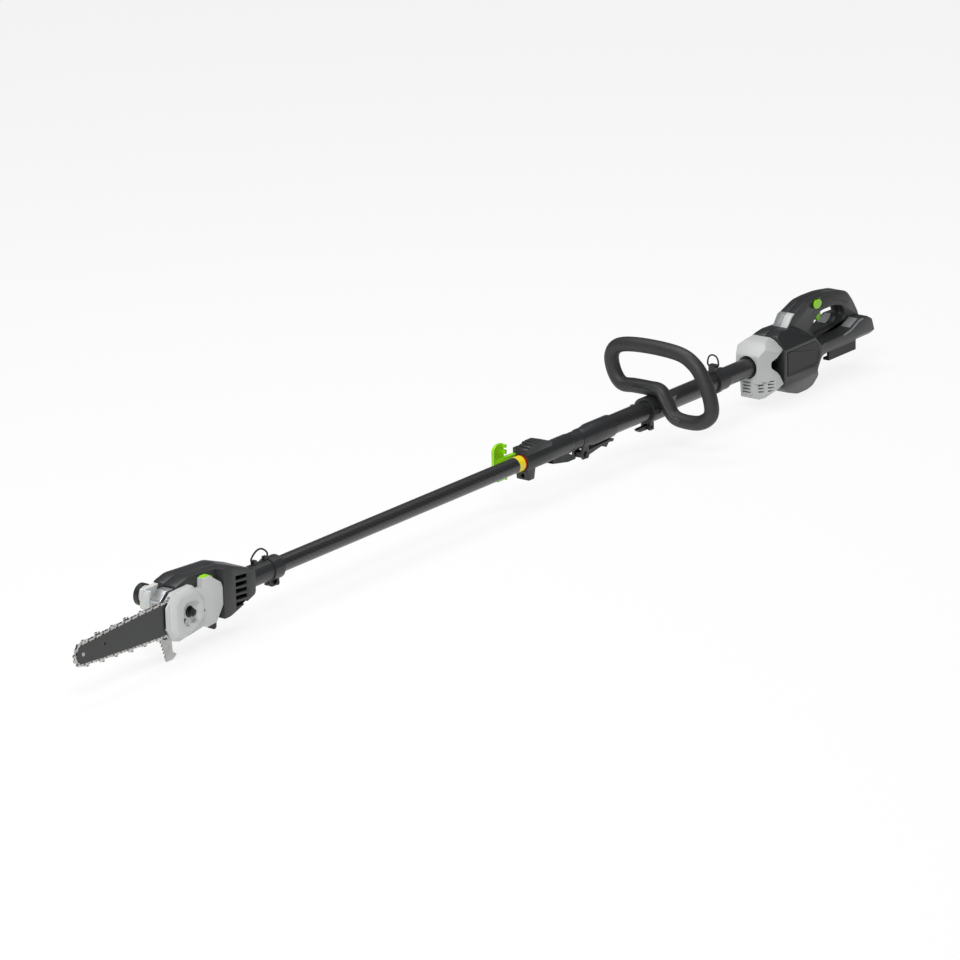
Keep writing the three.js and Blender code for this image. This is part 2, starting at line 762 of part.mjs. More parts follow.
add(
  "inner_tube", "carbon",
  sleeve("x", innerTubeRadius, innerTubeRadius - innerTubeWall, [innerTubeStartX, innerTubeEndX], [0, 0, 0]),
);
add(
  "collar_screw",
  "darkSteel",
  union(
    rod("y", 2.3, [-earY - 1, earY + 5], [ringClampX[0] + 13, 0, earZ + 1]),
    rod("y", 4.6, [-earY - 5, -earY - seat], [ringClampX[0] + 13, 0, earZ + 1]),
    rod("y", 4.6, [earY + seat, earY + 4], [ringClampX[0] + 13, 0, earZ + 1], 6),
  ),
);
const hangEyeZ = collarRadius + 3.6;
const hangRingX = [collarEndX - 66, collarEndX - 24];
function hangRing() {
  const [x0, x1] = hangRingX;
  const mid = (x0 + x1) / 2;
  return union(
    wire(
      [
        [x0 + 4, 0, hangEyeZ], [x0, 0, hangEyeZ + 1], [x0 - 1, 0, hangEyeZ + 7],
        [x0 + 10, 0, hangEyeZ + 17], [mid, 0, hangEyeZ + 20], [x1 - 10, 0, hangEyeZ + 17],
        [x1 + 1, 0, hangEyeZ + 7], [x1, 0, hangEyeZ + 1], [x1 - 4, 0, hangEyeZ],
      ],
      ringWire, false, 28,
    ),
    rod("x", ringWire, [x0 + 2, x0 + 11], [0, 0, hangEyeZ], 8),
    rod("x", ringWire, [x1 - 11, x1 - 2], [0, 0, hangEyeZ], 8),
  );
}
add("hang_ring", "darkSteel", hangRing());

// ---------------------------------------------------------------- quick clamp

const slimRadius = outerTubeRadius;
const spigotOuter = slimRadius - slimSleeveWall;
const spigotInner = innerTubeRadius + 0.6;
const leverPinX = clampMouthX + 34;
const leverPinY = slimRadius + 12;
const clampBlockEndX = clampMouthX + 82;

function clampBody() {
  const body = union(
    rod("x", slimRadius, [clampMouthX, clampEndX], [0, 0, 0], facets),
    sidePlate(
      [
        [clampMouthX + 2, 8], [clampMouthX + 2, slimRadius + 6],
        [clampMouthX + 24, slimRadius + 15], [clampMouthX + 50, slimRadius + 15],
        [clampBlockEndX, slimRadius + 4], [clampBlockEndX, 8],
      ],
      [-13, 13], 3,
    ),
    sidePlate(
      [
        [clampMouthX + 4, -8], [clampMouthX + 30, -8], [clampMouthX + 24, -slimRadius - 16],
        [clampMouthX + 6, -slimRadius - 16],
      ],
      [-13, 15], 3,
    ),
    box([leverPinX - 8, leverPinX + 8], [6, leverPinY + 7], [7, 17]),
    box([leverPinX - 8, leverPinX + 8], [6, leverPinY + 7], [-17, -7]),
  );
  const bore = rod(
    "x", innerTubeRadius + running, [clampMouthX - 1, clampEndX - spigotReach - 1], [0, 0, 0],
    facets,
  );
  const rearBore = rod(
    "x", spigotOuter + seat, [clampEndX - spigotReach - 1.5, clampEndX + 1], [0, 0, 0], facets,
  );
  const pinHole = rod("z", 2.5 + seat, [-20, 20], [leverPinX, leverPinY, 0]);
  const thumbGrooves = [0, 1, 2].map((i) =>
    box(
      [clampMouthX + 8 + i * 9, clampMouthX + 11 + i * 9], [-14, 14],
      [slimRadius + 6.5 + i * 3, slimRadius + 30],
    ),
  );
  const lowerHole = rod("x", 4, [clampMouthX - 1, clampMouthX + 18], [0, 0, -slimRadius - 7], 12);
  return cut(body, bore, rearBore, pinHole, lowerHole, ...thumbGrooves);
}
add("clamp_body", "blackPlastic", clampBody());
add("clamp_pin", "steel", rod("z", 2.5, [-16.5, 16.5], [leverPinX, leverPinY, 0]));

// The lime lever: an arm from the pin to a tall finger plate ahead of the clamp's mouth, on the far side.
const leverPlateX = [clampMouthX - 34, clampMouthX - 4];
const leverPlateY = [slimRadius + 17, slimRadius + 23];
function clampLever() {
  const knuckle = rod("z", 7, [-6.5, 6.5], [leverPinX, leverPinY, 0]);
  const arm = topPlate(
    [
      [leverPinX - 2, leverPinY - 5], [leverPinX + 4, leverPinY + 7],
      [leverPlateX[0] + 4, leverPlateY[1]], [leverPlateX[0] + 4, leverPlateY[0]],
    ],
    [-6.5, 6.5],
  );
  const plate = sidePlate(
    [
      [leverPlateX[0], -30], [leverPlateX[0] + 8, -38], [leverPlateX[1], -38], [leverPlateX[1], 34],
      [leverPlateX[0] + 8, 34], [leverPlateX[0], 26],
    ],
    leverPlateY, 5,
  );
  const rim = [[-36, -28], [-20, -12], [14, 22], [26, 32]].map(([z0, z1]) =>
    box([leverPlateX[1] - 4, leverPlateX[1]], [leverPlateY[0] - 7, leverPlateY[0] + 1], [z0, z1]),
  );
  return cut(union(knuckle, arm, plate, ...rim), rod("z", 2.5 + seat, [-20, 20], [leverPinX, leverPinY, 0]));
}
add("clamp_lever", "lime", clampLever());

// ---------------------------------------------------------------- coupling and draw latch

add(
  "coupling_spigot",
  "softBlack",
  cut(
    union(
      rod("x", spigotOuter, [clampEndX - spigotReach, rearSleeveX + spigotReach], [0, 0, 0], facets),
      rod("x", slimRadius - 1.2, [clampEndX + seat, rearSleeveX - seat], [0, 0, 0], facets),
    ),
    rod("x", spigotInner, [clampEndX - spigotReach - 1, rearSleeveX + spigotReach + 1], [0, 0, 0], facets),
  ),
);

const fatRadius = outerTubeRadius + seat + fatSleeveWall;
const latchPinX = rearSleeveX + 10;
const latchPinZ = -slimRadius - 13;
const latchEndX = rearSleeveEndX + 2;
function rearSleeve() {
  const body = union(
    turned(
      "x",
      [
        [0, rearSleeveX], [slimRadius, rearSleeveX], [slimRadius, rearSleeveX + sleeveStep],
        [fatRadius, rearSleeveX + sleeveStep + 14], [fatRadius, rearSleeveEndX - 2],
        [fatRadius - 2, rearSleeveEndX], [0, rearSleeveEndX],
      ],
    ),
    box([latchPinX - 9, latchPinX + 9], [-13, -8], [latchPinZ - 7, -8]),
    box([latchPinX - 9, latchPinX + 9], [8, 13], [latchPinZ - 7, -8]),
  );
  return cut(
    body,
    rod("x", spigotOuter + seat, [rearSleeveX - 1, rearSleeveX + spigotReach + seat], [0, 0, 0], facets),
    rod("x", innerTubeRadius + running + 0.5, [rearSleeveX, rearSleeveEndX], [0, 0, 0], facets),
    rod("x", outerTubeRadius + seat, [outerTubeX - seat, rearSleeveEndX + 1], [0, 0, 0], facets),
    rod("y", 3 + seat, [-20, 20], [latchPinX, 0, latchPinZ]),
  );
}
add("rear_sleeve", "blackPlastic", rearSleeve());
add("latch_pin", "steel", union(
  rod("y", 3, [-16, 16], [latchPinX, 0, latchPinZ]),
  rod("y", 6, [-16, -13 - seat], [latchPinX, 0, latchPinZ]),
  rod("y", 6, [13 + seat, 16], [latchPinX, 0, latchPinZ]),
));
function latchLever() {
  const lever = sidePlate(
    [
      [latchPinX - 5, latchPinZ + 5], [latchPinX - 5, latchPinZ - 6],
      [latchPinX + 8, latchPinZ - 6], [latchEndX - 38, latchPinZ + 2],
      [latchEndX - 22, latchPinZ - 4], [latchEndX - 14, latchPinZ + 4], [latchEndX, latchPinZ + 2],
      [latchEndX + 3, latchPinZ + 7], [latchEndX - 4, latchPinZ + 8.6],
      [latchPinX + 8, latchPinZ + 5],
    ],
    [-7.5, 7.5], 2,
  );
  return cut(lever, rod("y", 3 + seat, [-20, 20], [latchPinX, 0, latchPinZ]));
}
add("latch_lever", "blackPlastic", latchLever());

// The catch hook stands on the front side of the coupling, where the latch's nose pulls on it.
function latchHook() {
  const block = sidePlate(
    [
      [clampEndX - 50, -slimRadius + 3], [clampEndX - 56, -slimRadius - 6],
      [clampEndX - 6, -slimRadius - 15], [clampEndX + 18, -slimRadius - 15],
      [clampEndX + 18, -slimRadius - 9], [clampEndX - 8, -slimRadius + 3],
    ],
    [-6, 6], 1.5,
  );
  return cut(block, rod("x", slimRadius + seat, [clampEndX - 70, clampEndX + 40], [0, 0, 0], facets));
}
add("latch_hook", "softBlack", latchHook());

add(
  "outer_tube", "carbon",
  sleeve("x", outerTubeRadius, outerTubeRadius - outerTubeWall, [outerTubeX, outerTubeEndX], [0, 0, 0]),
);

// ---------------------------------------------------------------- loop handle

const loopPath = [
  [70, 38], [40, 38], [8, 38], [-20, 36], [-34, 16], [-50, -8], [-74, -15], [
    -112, -12,
  ], [-137, 8], [-135, 40], [-120, 74],
  [-100, 100], [-64, 117], [12, 121], [72, 114], [93, 92], [88, 60],
];
const bracketX = [loopX - 26, loopX - 26 + loopBracketLength];
const bracketRadius = outerTubeRadius + running + loopBracketWall;
function loopHandle() {
  const grip = wire(loopPath.map(([y, z]) => [loopX, y, z]), loopGripRadius, true, 44, 10);
  return cut(grip, rod("x", bracketRadius + seat, [loopX - 30, loopX + 40], [0, 0, 0], facets));
}
add("loop_handle", "softBlack", loopHandle());

const bandEarZ = -bracketRadius - 8;
function bracketRing() {
  return sleeve("x", bracketRadius, outerTubeRadius + running, bracketX, [0, 0, 0]);
}
function loopBracket() {
  const plate = box(
    [loopX + loopGripRadius + 1, bracketX[1]], [-26, 26], [bracketRadius - 3, bracketRadius + 9],
  ).rotate([20, 0, 0]);
  const upper = cut(bracketRing(), box([bracketX[0] - 1, bracketX[1] + 1], [-60, 60], [-60, seat / 2]));
  const flange = box(bracketX, [-bracketRadius - 8, bracketRadius + 8], [seat / 2, 6]);
  const lugs = cut(
    flange,
    rod("x", outerTubeRadius + running, [bracketX[0] - 1, bracketX[1] + 1], [0, 0, 0], facets),
  );
  return union(upper, plate, cut(lugs, box([loopX - 18, loopX + 18], [-80, 80], [-20, 20])));
}
add("loop_bracket", "blackPlastic", loopBracket());
function loopBand() {
  const lower = cut(bracketRing(), box([bracketX[0] - 1, bracketX[1] + 1], [-60, 60], [-seat / 2, 60]));
  const ears = union(
    box([loopX - 22, loopX - 10], [-11, -5], [bandEarZ - 5, -outerTubeRadius - 2]),
    box([loopX - 22, loopX - 10], [5, 11], [bandEarZ - 5, -outerTubeRadius - 2]),
  );
  return cut(union(lower, ears), rod("y", 2.5 + seat, [-20, 20], [loopX - 16, 0, bandEarZ]));
}
add("loop_clamp_band", "blackPlastic", loopBand());
add("loop_clamp_pin", "steel", rod("y", 2.5, [-13, 13], [loopX - 16, 0, bandEarZ], 12));
add(
  "loop_clamp_lever",
  "softBlack",
  cut(
    sidePlate(
      [
        [loopX - 11, bandEarZ + 4], [loopX - 11, bandEarZ - 4], [loopX - 48, bandEarZ - 3],
        [loopX - 54, bandEarZ + 3], [loopX - 46, bandEarZ + 4],
      ],
      [-4.4, 4.4], 2,
    ),
    rod("y", 2.5 + seat, [-20, 20], [loopX - 16, 0, bandEarZ]),
  ),
);

// ---------------------------------------------------------------- strap band and its ring

const bandX = [strapBandX - strapBandWidth / 2, strapBandX + strapBandWidth / 2];
const bandRadius = outerTubeRadius + seat + strapBandWall;
const strapEyeZ = bandRadius + 9;
const strapEyeX = bandX[0] + 6;
function strapBand() {
  return cut(
    union(
      rod("x", bandRadius, bandX, [0, 0, 0], facets),
      rod("x", bandRadius + 1.6, [bandX[0], bandX[0] + 12], [0, 0, 0], facets),
      box([bandX[0], bandX[0] + 12], [-7, 7], [bandRadius - 2, strapEyeZ + 4]),
    ),
    rod("x", outerTubeRadius + seat, [bandX[0] - 1, bandX[1] + 1], [0, 0, 0], facets),
    rod("y", ringWire + seat, [-12, 12], [strapEyeX, 0, strapEyeZ], 12),
  );
}
add("strap_band", "softBlack", strapBand());
add(
  "strap_ring",
  "darkSteel",
  union(
    wire(
      [
        [strapEyeX, -9, strapEyeZ], [strapEyeX, -12, strapEyeZ + 2],
        [strapEyeX, -12, strapEyeZ + 12], [strapEyeX, -8, strapEyeZ + 20],
        [strapEyeX, 0, strapEyeZ + 23], [strapEyeX, 8, strapEyeZ + 20],
        [strapEyeX, 12, strapEyeZ + 12], [strapEyeX, 12, strapEyeZ + 2], [strapEyeX, 9, strapEyeZ],
      ],
      ringWire, false, 28,
    ),
    rod("y", ringWire, [-10, 10], [strapEyeX, 0, strapEyeZ], 8),
  ),
);

// ---------------------------------------------------------------- power head

const tubeBore = outerTubeRadius + seat;
const bodyStartX = frontCoverX + frontCoverLength;
const trayEndX = frontCoverX + powerHeadLength;
const trayStartX = trayEndX - trayLength;

const coverNoseHalf = 25;
const coverChinHalf = 12;
const ventPitch = 6.5;

function section(half, top, bottom, chamfer) {
  return [
    [-half, bottom + chamfer], [-half + chamfer, bottom], [half - chamfer, bottom], [half, bottom + chamfer],
    [half, top - chamfer], [half - chamfer, top], [-half + chamfer, top], [-half, top - chamfer],
  ];
}

// The front cover is a prow: narrow at the tube, flaring to the body's width, with a slimmer chin below.
function frontCover() {
  const half = coverHalfWidth;
  const flareX = frontCoverX + 39;
  const backX = bodyStartX + 9;
  const side = [
    [frontCoverX - 2, -56], [frontCoverX + 7, -64], [frontCoverX + 34, -68], [backX - 4, -56], [backX, -42],
    [bodyStartX - 6, -19], [bodyStartX - 26, -2], [bodyStartX - 26, 10], [backX, 28], [backX - 3, 46],
    [bodyStartX - 3, 53], [frontCoverX + 26, 47], [frontCoverX, 24],
  ];
  const whole = sidePlate(side, [-half, half], 4);
  const plan = (front, z) =>
    topPlate(
      [
        [frontCoverX - 3, -front], [flareX, -half], [backX + 1, -half],
        [backX + 1, half], [flareX, half], [frontCoverX - 3, front],
      ],
      z,
    );
  const nose = whole.intersect(plan(coverNoseHalf, [-30, 70]));
  const chin = whole.intersect(plan(coverChinHalf, [-90, -24]));
  const chamfered = union(nose, chin).intersect(crossPlate(
    section(half, 54, -69, 27), [frontCoverX - 3, backX + 1],
  ));
  const hollow = box([frontCoverX + 24, backX + 11], [-half + 16, half - 16], [-52, 34]);
  const vents = [];
  for (let row = 0; row < 4; row += 1) {
    const z = [-31 - row * ventPitch, -28 - row * ventPitch];
    for (const x of [[frontCoverX + 8, frontCoverX + 19], [frontCoverX + 24, frontCoverX + 36]]) {
      vents.push(box(x, [-60, -14], z));
      vents.push(box(x, [14, 60], z));
    }
    vents.push(box([frontCoverX - 4, frontCoverX + 4], [-9, 9], z));
  }
  const sealBore = rod("x", tubeBore + 3, [frontCoverX - 4, frontCoverX + 25], [0, 0, 0], facets);
  return cut(chamfered, sealBore, hollow, ...vents);
}
add("front_cover", "greyPlastic", frontCover());
add(
  "tube_seal", "softBlack",
  sleeve("x", tubeBore + 3 - seat, tubeBore, [frontCoverX + 1, frontCoverX + 23], [0, 0, 0]),
);

// The body and the handle are one casting in two shells, split on the pole's middle plane.
const openingOutline = [
  [
    bodyStartX + 148, 26,
  ], [bodyStartX + 158, 50], [bodyStartX + 182, 62], [bodyStartX + 230, 62], [bodyStartX + 260, 54],
  [bodyStartX + 270, 34], [bodyStartX + 254, 15], [bodyStartX + 166, 12],
];
const bodySide = [
  [bodyStartX + 9 + seat, -52], [bodyStartX + 34, -68], [bodyStartX + 84, bodyBottomZ], [
    bodyStartX + 118, bodyBottomZ,
  ],
  [bodyStartX + 134, -78], [bodyStartX + 138, -56], [bodyStartX + 126, -44], [bodyStartX + 142, trayBottomZ],
  [trayEndX - 60, trayBottomZ], [trayEndX - 60, 4], [bodyStartX + 166, 7], [bodyStartX + 140, 5],
  [bodyStartX + 119, 27], [
    bodyStartX + 84, bodyTopZ - 3,
  ], [bodyStartX + 30, bodyTopZ], [bodyStartX + 9 + seat, 50],
];
const handleSide = [
  [bodyStartX + 50, 20], [bodyStartX + 58, 50], [bodyStartX + 80, 76], [bodyStartX + 128, handleTopZ - 1],
  [bodyStartX + 160, handleTopZ + 1], [bodyStartX + 205, handleTopZ], [bodyStartX + 256, handleTopZ - 7],
  [bodyStartX + 276, handleTopZ - 14], [bodyStartX + 296, handleTopZ - 36], [bodyStartX + 317, 27],
  [bodyStartX + 322, 0], [bodyStartX + 100, 0],
];
const traySide = [
  [trayStartX, 2], [trayStartX, trayBottomZ], [trayEndX - 4, trayBottomZ], [trayEndX, -9], [trayEndX - 9, 16],
  [trayEndX - 28, 26], [trayEndX - 54, 26], [trayEndX - 86, 13], [trayEndX - 116, 8], [trayEndX - 160, 7],
];
const bodySection = [
  [-bodyHalfWidth, -46], [-26, bodyBottomZ - 1], [26, bodyBottomZ - 1], [bodyHalfWidth, -46],
  [bodyHalfWidth, 27], [21, bodyTopZ + 1], [-21, bodyTopZ + 1], [-bodyHalfWidth, 27],
];

function headBody() {
  const body = sidePlate(bodySide, [-bodyHalfWidth, bodyHalfWidth], 6).intersect(
    crossPlate(bodySection, [bodyStartX, trayEndX + 1]),
  );
  const waistX = [bodyStartX + 138, trayStartX + 32];
  const narrowWaist = topPlate(
    [
      [bodyStartX, -60], [waistX[0], -47], [waistX[1], -40], [trayEndX, -40],
      [trayEndX, 40], [waistX[1], 40], [waistX[0], 47], [bodyStartX, 60],
    ],
    [-100, 70],
  );
  const handle = sidePlate(handleSide, [-handleHalfWidth, handleHalfWidth], 10);
  const tray = sidePlate(traySide, [-trayHalfWidth, trayHalfWidth], 4).intersect(
    crossPlate(section(trayHalfWidth, 39, trayBottomZ - 1, 10), [trayStartX - 1, trayEndX + 1]),
  );
  return cut(union(body.intersect(narrowWaist), handle, tray), sidePlate(openingOutline, [-60, 60], 9));
}

// Everything the two shells make room for.
const bayX = [trayStartX + 42, trayEndX + 1];
const bayHalf = 27;
const triggerX = bodyStartX + 178;
const triggerZ = 57;
const buttonX = bodyStartX + 164;
const buttonZ = 81;
const buttonRadius = 8.7;
const triggerHalf = 7.5;
function headRooms() {
  return [
    rod("x", tubeBore, [bodyStartX - 1, outerTubeEndX + seat], [0, 0, 0], facets),
    box([bodyStartX + 16, bodyStartX + 112], [-bodyHalfWidth + 10, bodyHalfWidth - 10], [-46, 26]),
    box([bodyStartX + 118, bodyStartX + 144], [-11, 11], [20, 84]),
    box([bodyStartX + 100, bodyStartX + 119], [-11, 11], [12, 60]),
    box([bodyStartX + 140, bodyStartX + 164], [-11, 11], [64, 84]),
    box(bayX, [-bayHalf, bayHalf], [trayBottomZ - 8, trayBottomZ + 10]),
  ];
}
const wholeHead = cut(headBody(), ...headRooms());

const slotBox = box(
  [triggerX - 16, triggerX + 24], [-triggerHalf - running, triggerHalf + running],
  [triggerZ - 30, triggerZ + 15],
);
const buttonHole = rod("y", buttonRadius + seat, [-40, 40], [buttonX, 0, buttonZ], 20);
const releaseX = trayEndX - 22;
const releaseHole = box([releaseX - 14, trayEndX + 1], [-16 - seat, 16 + seat], [-6 - seat, 17 + seat]);
const badgeX = [bodyStartX + 20, bodyStartX + 20 + badgeLength];
const badgeZ = [badgeMiddleZ - badgeHeight / 2, badgeMiddleZ + badgeHeight / 2];
const badgeOutline = [
  [badgeX[0], badgeZ[0]], [
    badgeX[1] - 12, badgeZ[0],
  ], [badgeX[1], badgeZ[0] + 14], [badgeX[1], badgeZ[1] - 14], [badgeX[1] - 12, badgeZ[1]],
  [badgeX[0], badgeZ[1]],
];
const badgePocket = (side) => {
  const depth = side < 0 ? [
    -bodyHalfWidth - 1, -bodyHalfWidth + badgeThickness + seat,
  ] : [bodyHalfWidth - badgeThickness - seat, bodyHalfWidth + 1];
  return sidePlate(
    badgeOutline.map(([x, z]) => [x + (x > badgeX[0] ? seat : -seat), z + (z > badgeMiddleZ ? seat : -seat)]),
    depth,
  );
};
const openedHead = cut(wholeHead, slotBox, buttonHole, releaseHole, badgePocket(-1), badgePocket(1));
add(
  "head_housing_right", "blackPlastic",
  openedHead.intersect(box([bodyStartX, trayEndX + 1], [-80, -seat / 2], [-120, 140])),
);
add(
  "head_housing_left", "blackPlastic",
  openedHead.intersect(box([bodyStartX, trayEndX + 1], [seat / 2, 80], [-120, 140])),
);

for (const [name, side] of [["badge_plate_right", -1], ["badge_plate_left", 1]]) {
  const face = bodyHalfWidth - badgeThickness;
  add(name, "softBlack", sidePlate(badgeOutline, side < 0 ? [-bodyHalfWidth, -face] : [face, bodyHalfWidth]));
}

// ---------------------------------------------------------------- controls and electrics

// The trigger swings on a pin at its top, and its toe shows in the hand opening.
const triggerPinX = triggerX - 5;
const triggerPinZ = triggerZ + 9;
function trigger() {
  const toe = sidePlate(
    [
      [triggerPinX - 4, triggerPinZ + 4], [triggerPinX + 5, triggerPinZ + 4], [triggerX + 14, triggerZ + 2],
      [triggerX + 19, triggerZ - 8], [triggerX + 13, triggerZ - 19], [triggerX + 6, triggerZ - 17],
      [triggerPinX - 4, triggerPinZ - 4],
    ],
    [-triggerHalf, triggerHalf],
    3,
  );
  return cut(toe, rod("y", 2 + seat, [-10, 10], [triggerPinX, 0, triggerPinZ]));
}
add("trigger", "lime", trigger());
add(
  "trigger_pin", "steel",
  rod("y", 2, [-triggerHalf - 0.2, triggerHalf + 0.2], [triggerPinX, 0, triggerPinZ], 12),
);
add(
  "trigger_switch", "softBlack",
  box([bodyStartX + 122, bodyStartX + 143], [-11 + seat, 11 - seat], [52, 76]),
);
add(
  "lock_off_button", "lime",
  rod("y", buttonRadius, [-handleHalfWidth - 4, handleHalfWidth + 4], [buttonX, 0, buttonZ], 20),
);
add("control_board", "board", box([bodyStartX + 28, bodyStartX + 104], [-30, 30], [-46 + seat, -42 + seat]));

// Battery bay: a terminal block at the front of the tray's underside, and two rails that the pack slides on.
add("terminal_block", "softBlack", union(
  box([bayX[0] + seat, bayX[0] + 20], [-24, 24], [trayBottomZ - 3, trayBottomZ + 10 - seat]),
  ...[-15, -5, 5, 15].map((
    y) => box([bayX[0] + 19, bayX[0] + 34], [y - 0.8, y + 0.8], [trayBottomZ - 2, trayBottomZ + 7],
  )),
));
for (const [name, side] of [["battery_rail_right", -1], ["battery_rail_left", 1]]) {
  const rail = [
    [22, -20], [36, -20], [36, -seat], [31, -seat], [31, -15], [22, -15],
  ].map(([y, z]) => [side * y, trayBottomZ + z]);
  const plate = crossPlate(side > 0 ? rail : rail.reverse(), [trayStartX + 44, trayEndX - 57]);
  add(name, "blackPlastic", plate);
}
add(
  "release_button",
  "softBlack",
  sidePlate(
    [[releaseX - 8, -6], [trayEndX - 1, -6], [trayEndX - 7, 10], [trayEndX - 12, 17], [releaseX - 8, 17]],
    [-16, 16], 2,
  ),
);

// ---------------------------------------------------------------- the whole saw, with its origin under its
// middle

const bounds = new THREE.Box3().setFromObject(saw);
const middle = bounds.getCenter(new THREE.Vector3());
saw.position.set(-middle.x, -middle.y, -bounds.min.z);

const poleSaw = new THREE.Group();
poleSaw.name = "telescoping_pole_saw";
poleSaw.add(saw);
poleSaw.userData.pivots = {
  shift: [-middle.x, -middle.y, -bounds.min.z],
  nose: [noseX, barPlaneY, barPlaneZ],
  outputShaft: [outputShaftX, 0, outputZ],
  motor: [motorX, motorY, outputZ],
  oilCap: [oilCapX, neckEndY, oilCapZ],
  tensionScrew: [screwX, nutSeatY, screwZ],
  hangRing: [hangRingX[0], 0, hangEyeZ],
  clampLever: [leverPinX, leverPinY, 0],
  latchLever: [latchPinX, 0, latchPinZ],
  loopLever: [loopX - 16, 0, bandEarZ],
  strapRing: [strapEyeX, 0, strapEyeZ],
  trigger: [triggerPinX, 0, triggerPinZ],
};

export default poleSaw;
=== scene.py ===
"""The looks of a telescoping pole saw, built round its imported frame.

The scene is in metres; MM turns millimetres into metres. New pieces are drawn in millimetres from the
pole's own origin, which lies on its axis just ahead of the clamp.
"""

import math

import bmesh
import bpy
from mathutils import Matrix, Vector


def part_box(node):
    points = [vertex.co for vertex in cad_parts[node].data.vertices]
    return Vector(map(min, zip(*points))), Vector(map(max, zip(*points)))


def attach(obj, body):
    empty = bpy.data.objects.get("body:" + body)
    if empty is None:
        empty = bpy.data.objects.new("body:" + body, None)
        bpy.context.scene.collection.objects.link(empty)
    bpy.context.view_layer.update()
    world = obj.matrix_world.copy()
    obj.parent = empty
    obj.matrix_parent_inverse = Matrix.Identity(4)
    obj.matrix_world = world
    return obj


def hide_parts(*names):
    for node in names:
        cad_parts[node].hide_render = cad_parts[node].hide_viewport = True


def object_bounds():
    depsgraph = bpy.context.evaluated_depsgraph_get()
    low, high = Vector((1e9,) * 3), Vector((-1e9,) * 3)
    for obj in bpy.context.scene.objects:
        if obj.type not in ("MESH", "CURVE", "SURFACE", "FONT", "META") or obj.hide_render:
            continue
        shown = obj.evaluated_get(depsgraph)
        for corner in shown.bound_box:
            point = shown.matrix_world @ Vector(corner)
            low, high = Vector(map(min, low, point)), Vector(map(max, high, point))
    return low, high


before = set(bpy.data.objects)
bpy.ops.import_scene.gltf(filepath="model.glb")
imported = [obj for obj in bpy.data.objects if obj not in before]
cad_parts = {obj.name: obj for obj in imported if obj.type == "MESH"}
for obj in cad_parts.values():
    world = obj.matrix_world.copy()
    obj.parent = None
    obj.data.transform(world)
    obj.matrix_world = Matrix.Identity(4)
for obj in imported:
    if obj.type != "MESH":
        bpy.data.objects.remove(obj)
size_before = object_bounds()
MM = 0.001

# ---------------------------------------------------------------- places taken from the frame

FAR, NEAR = 1, 0


def edge(node, axis, side):
    """One coordinate of a node's box."""
    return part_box(node)[side]["xyz".index(axis)]


def middle(node, axis):
    return (edge(node, axis, NEAR) + edge(node, axis, FAR)) / 2


POLE_Y = middle("outer_tube", "y")
POLE_Z = middle("outer_tube", "z")
BAR_TAIL_FROM_ORIGIN = 824.3  # mm from the bar's rear end forward to the origin of the drawn pieces
ORIGIN = Vector((edge("guide_bar", "x", FAR) + BAR_TAIL_FROM_ORIGIN * MM, POLE_Y, POLE_Z))


# ---------------------------------------------------------------- materials


def linear(code):
    """A hex sRGB colour as linear red, green, blue and alpha."""
    channels = [int(code[i : i + 2], 16) / 255 for i in (0, 2, 4)]
    return [c / 12.92 if c <= 0.04045 else ((c + 0.055) / 1.055) ** 2.4 for c in channels] + [1.0]


def add(tree, kind, inputs=None, **settings):
    """Adds one shader node: settings are its options, and an input is a value or another node's output."""
    made = tree.nodes.new("ShaderNode" + kind)
    for name, value in settings.items():
        setattr(made, name, value)
    for name, value in (inputs or {}).items():
        if isinstance(value, bpy.types.NodeSocket):
            tree.links.new(value, made.inputs[name])
        else:
            made.inputs[name].default_value = value
    return made


def start(name):
    """A new material, its node tree, its Principled shader and the object's coordinates in metres."""
    material = bpy.data.materials.new(name)
    material.use_nodes = True
    tree = material.node_tree
    place = add(tree, "TexCoord").outputs["Object"]
    return material, tree, tree.nodes["Principled BSDF"], place


def moulded(name, dark, pale, roughness, grain_mm=1.1, grain_depth_mm=0.03, coat=0.0):
    """Injection-moulded nylon or ABS: satin, with a fine spark-eroded grain and a slight drift of tone."""
    material, tree, shader, place = start(name)
    drift = add(tree, "TexNoise", {"Vector": place, "Scale": 1 / (35 * MM), "Detail": 4.0}).outputs["Fac"]
    tone = add(tree, "Mix", {0: drift, 6: linear(dark), 7: linear(pale)}, data_type="RGBA").outputs[2]
    grain = add(
        tree, "TexNoise", {"Vector": place, "Scale": 1 / (grain_mm * MM), "Detail": 2.0},
    ).outputs["Fac"]
    gloss = add(tree, "MapRange", {"Value": grain, "To Min": roughness - 0.08, "To Max": roughness + 0.1})
    relief = add(tree, "Bump", {"Height": grain, "Distance": grain_depth_mm * MM, "Strength": 0.5})
    tree.links.new(tone, shader.inputs["Base Color"])
    tree.links.new(gloss.outputs["Result"], shader.inputs["Roughness"])
    tree.links.new(relief.outputs["Normal"], shader.inputs["Normal"])
    shader.inputs["IOR"].default_value = 1.5
    shader.inputs["Coat Weight"].default_value = coat
    shader.inputs["Coat Roughness"].default_value = 0.25
    return material


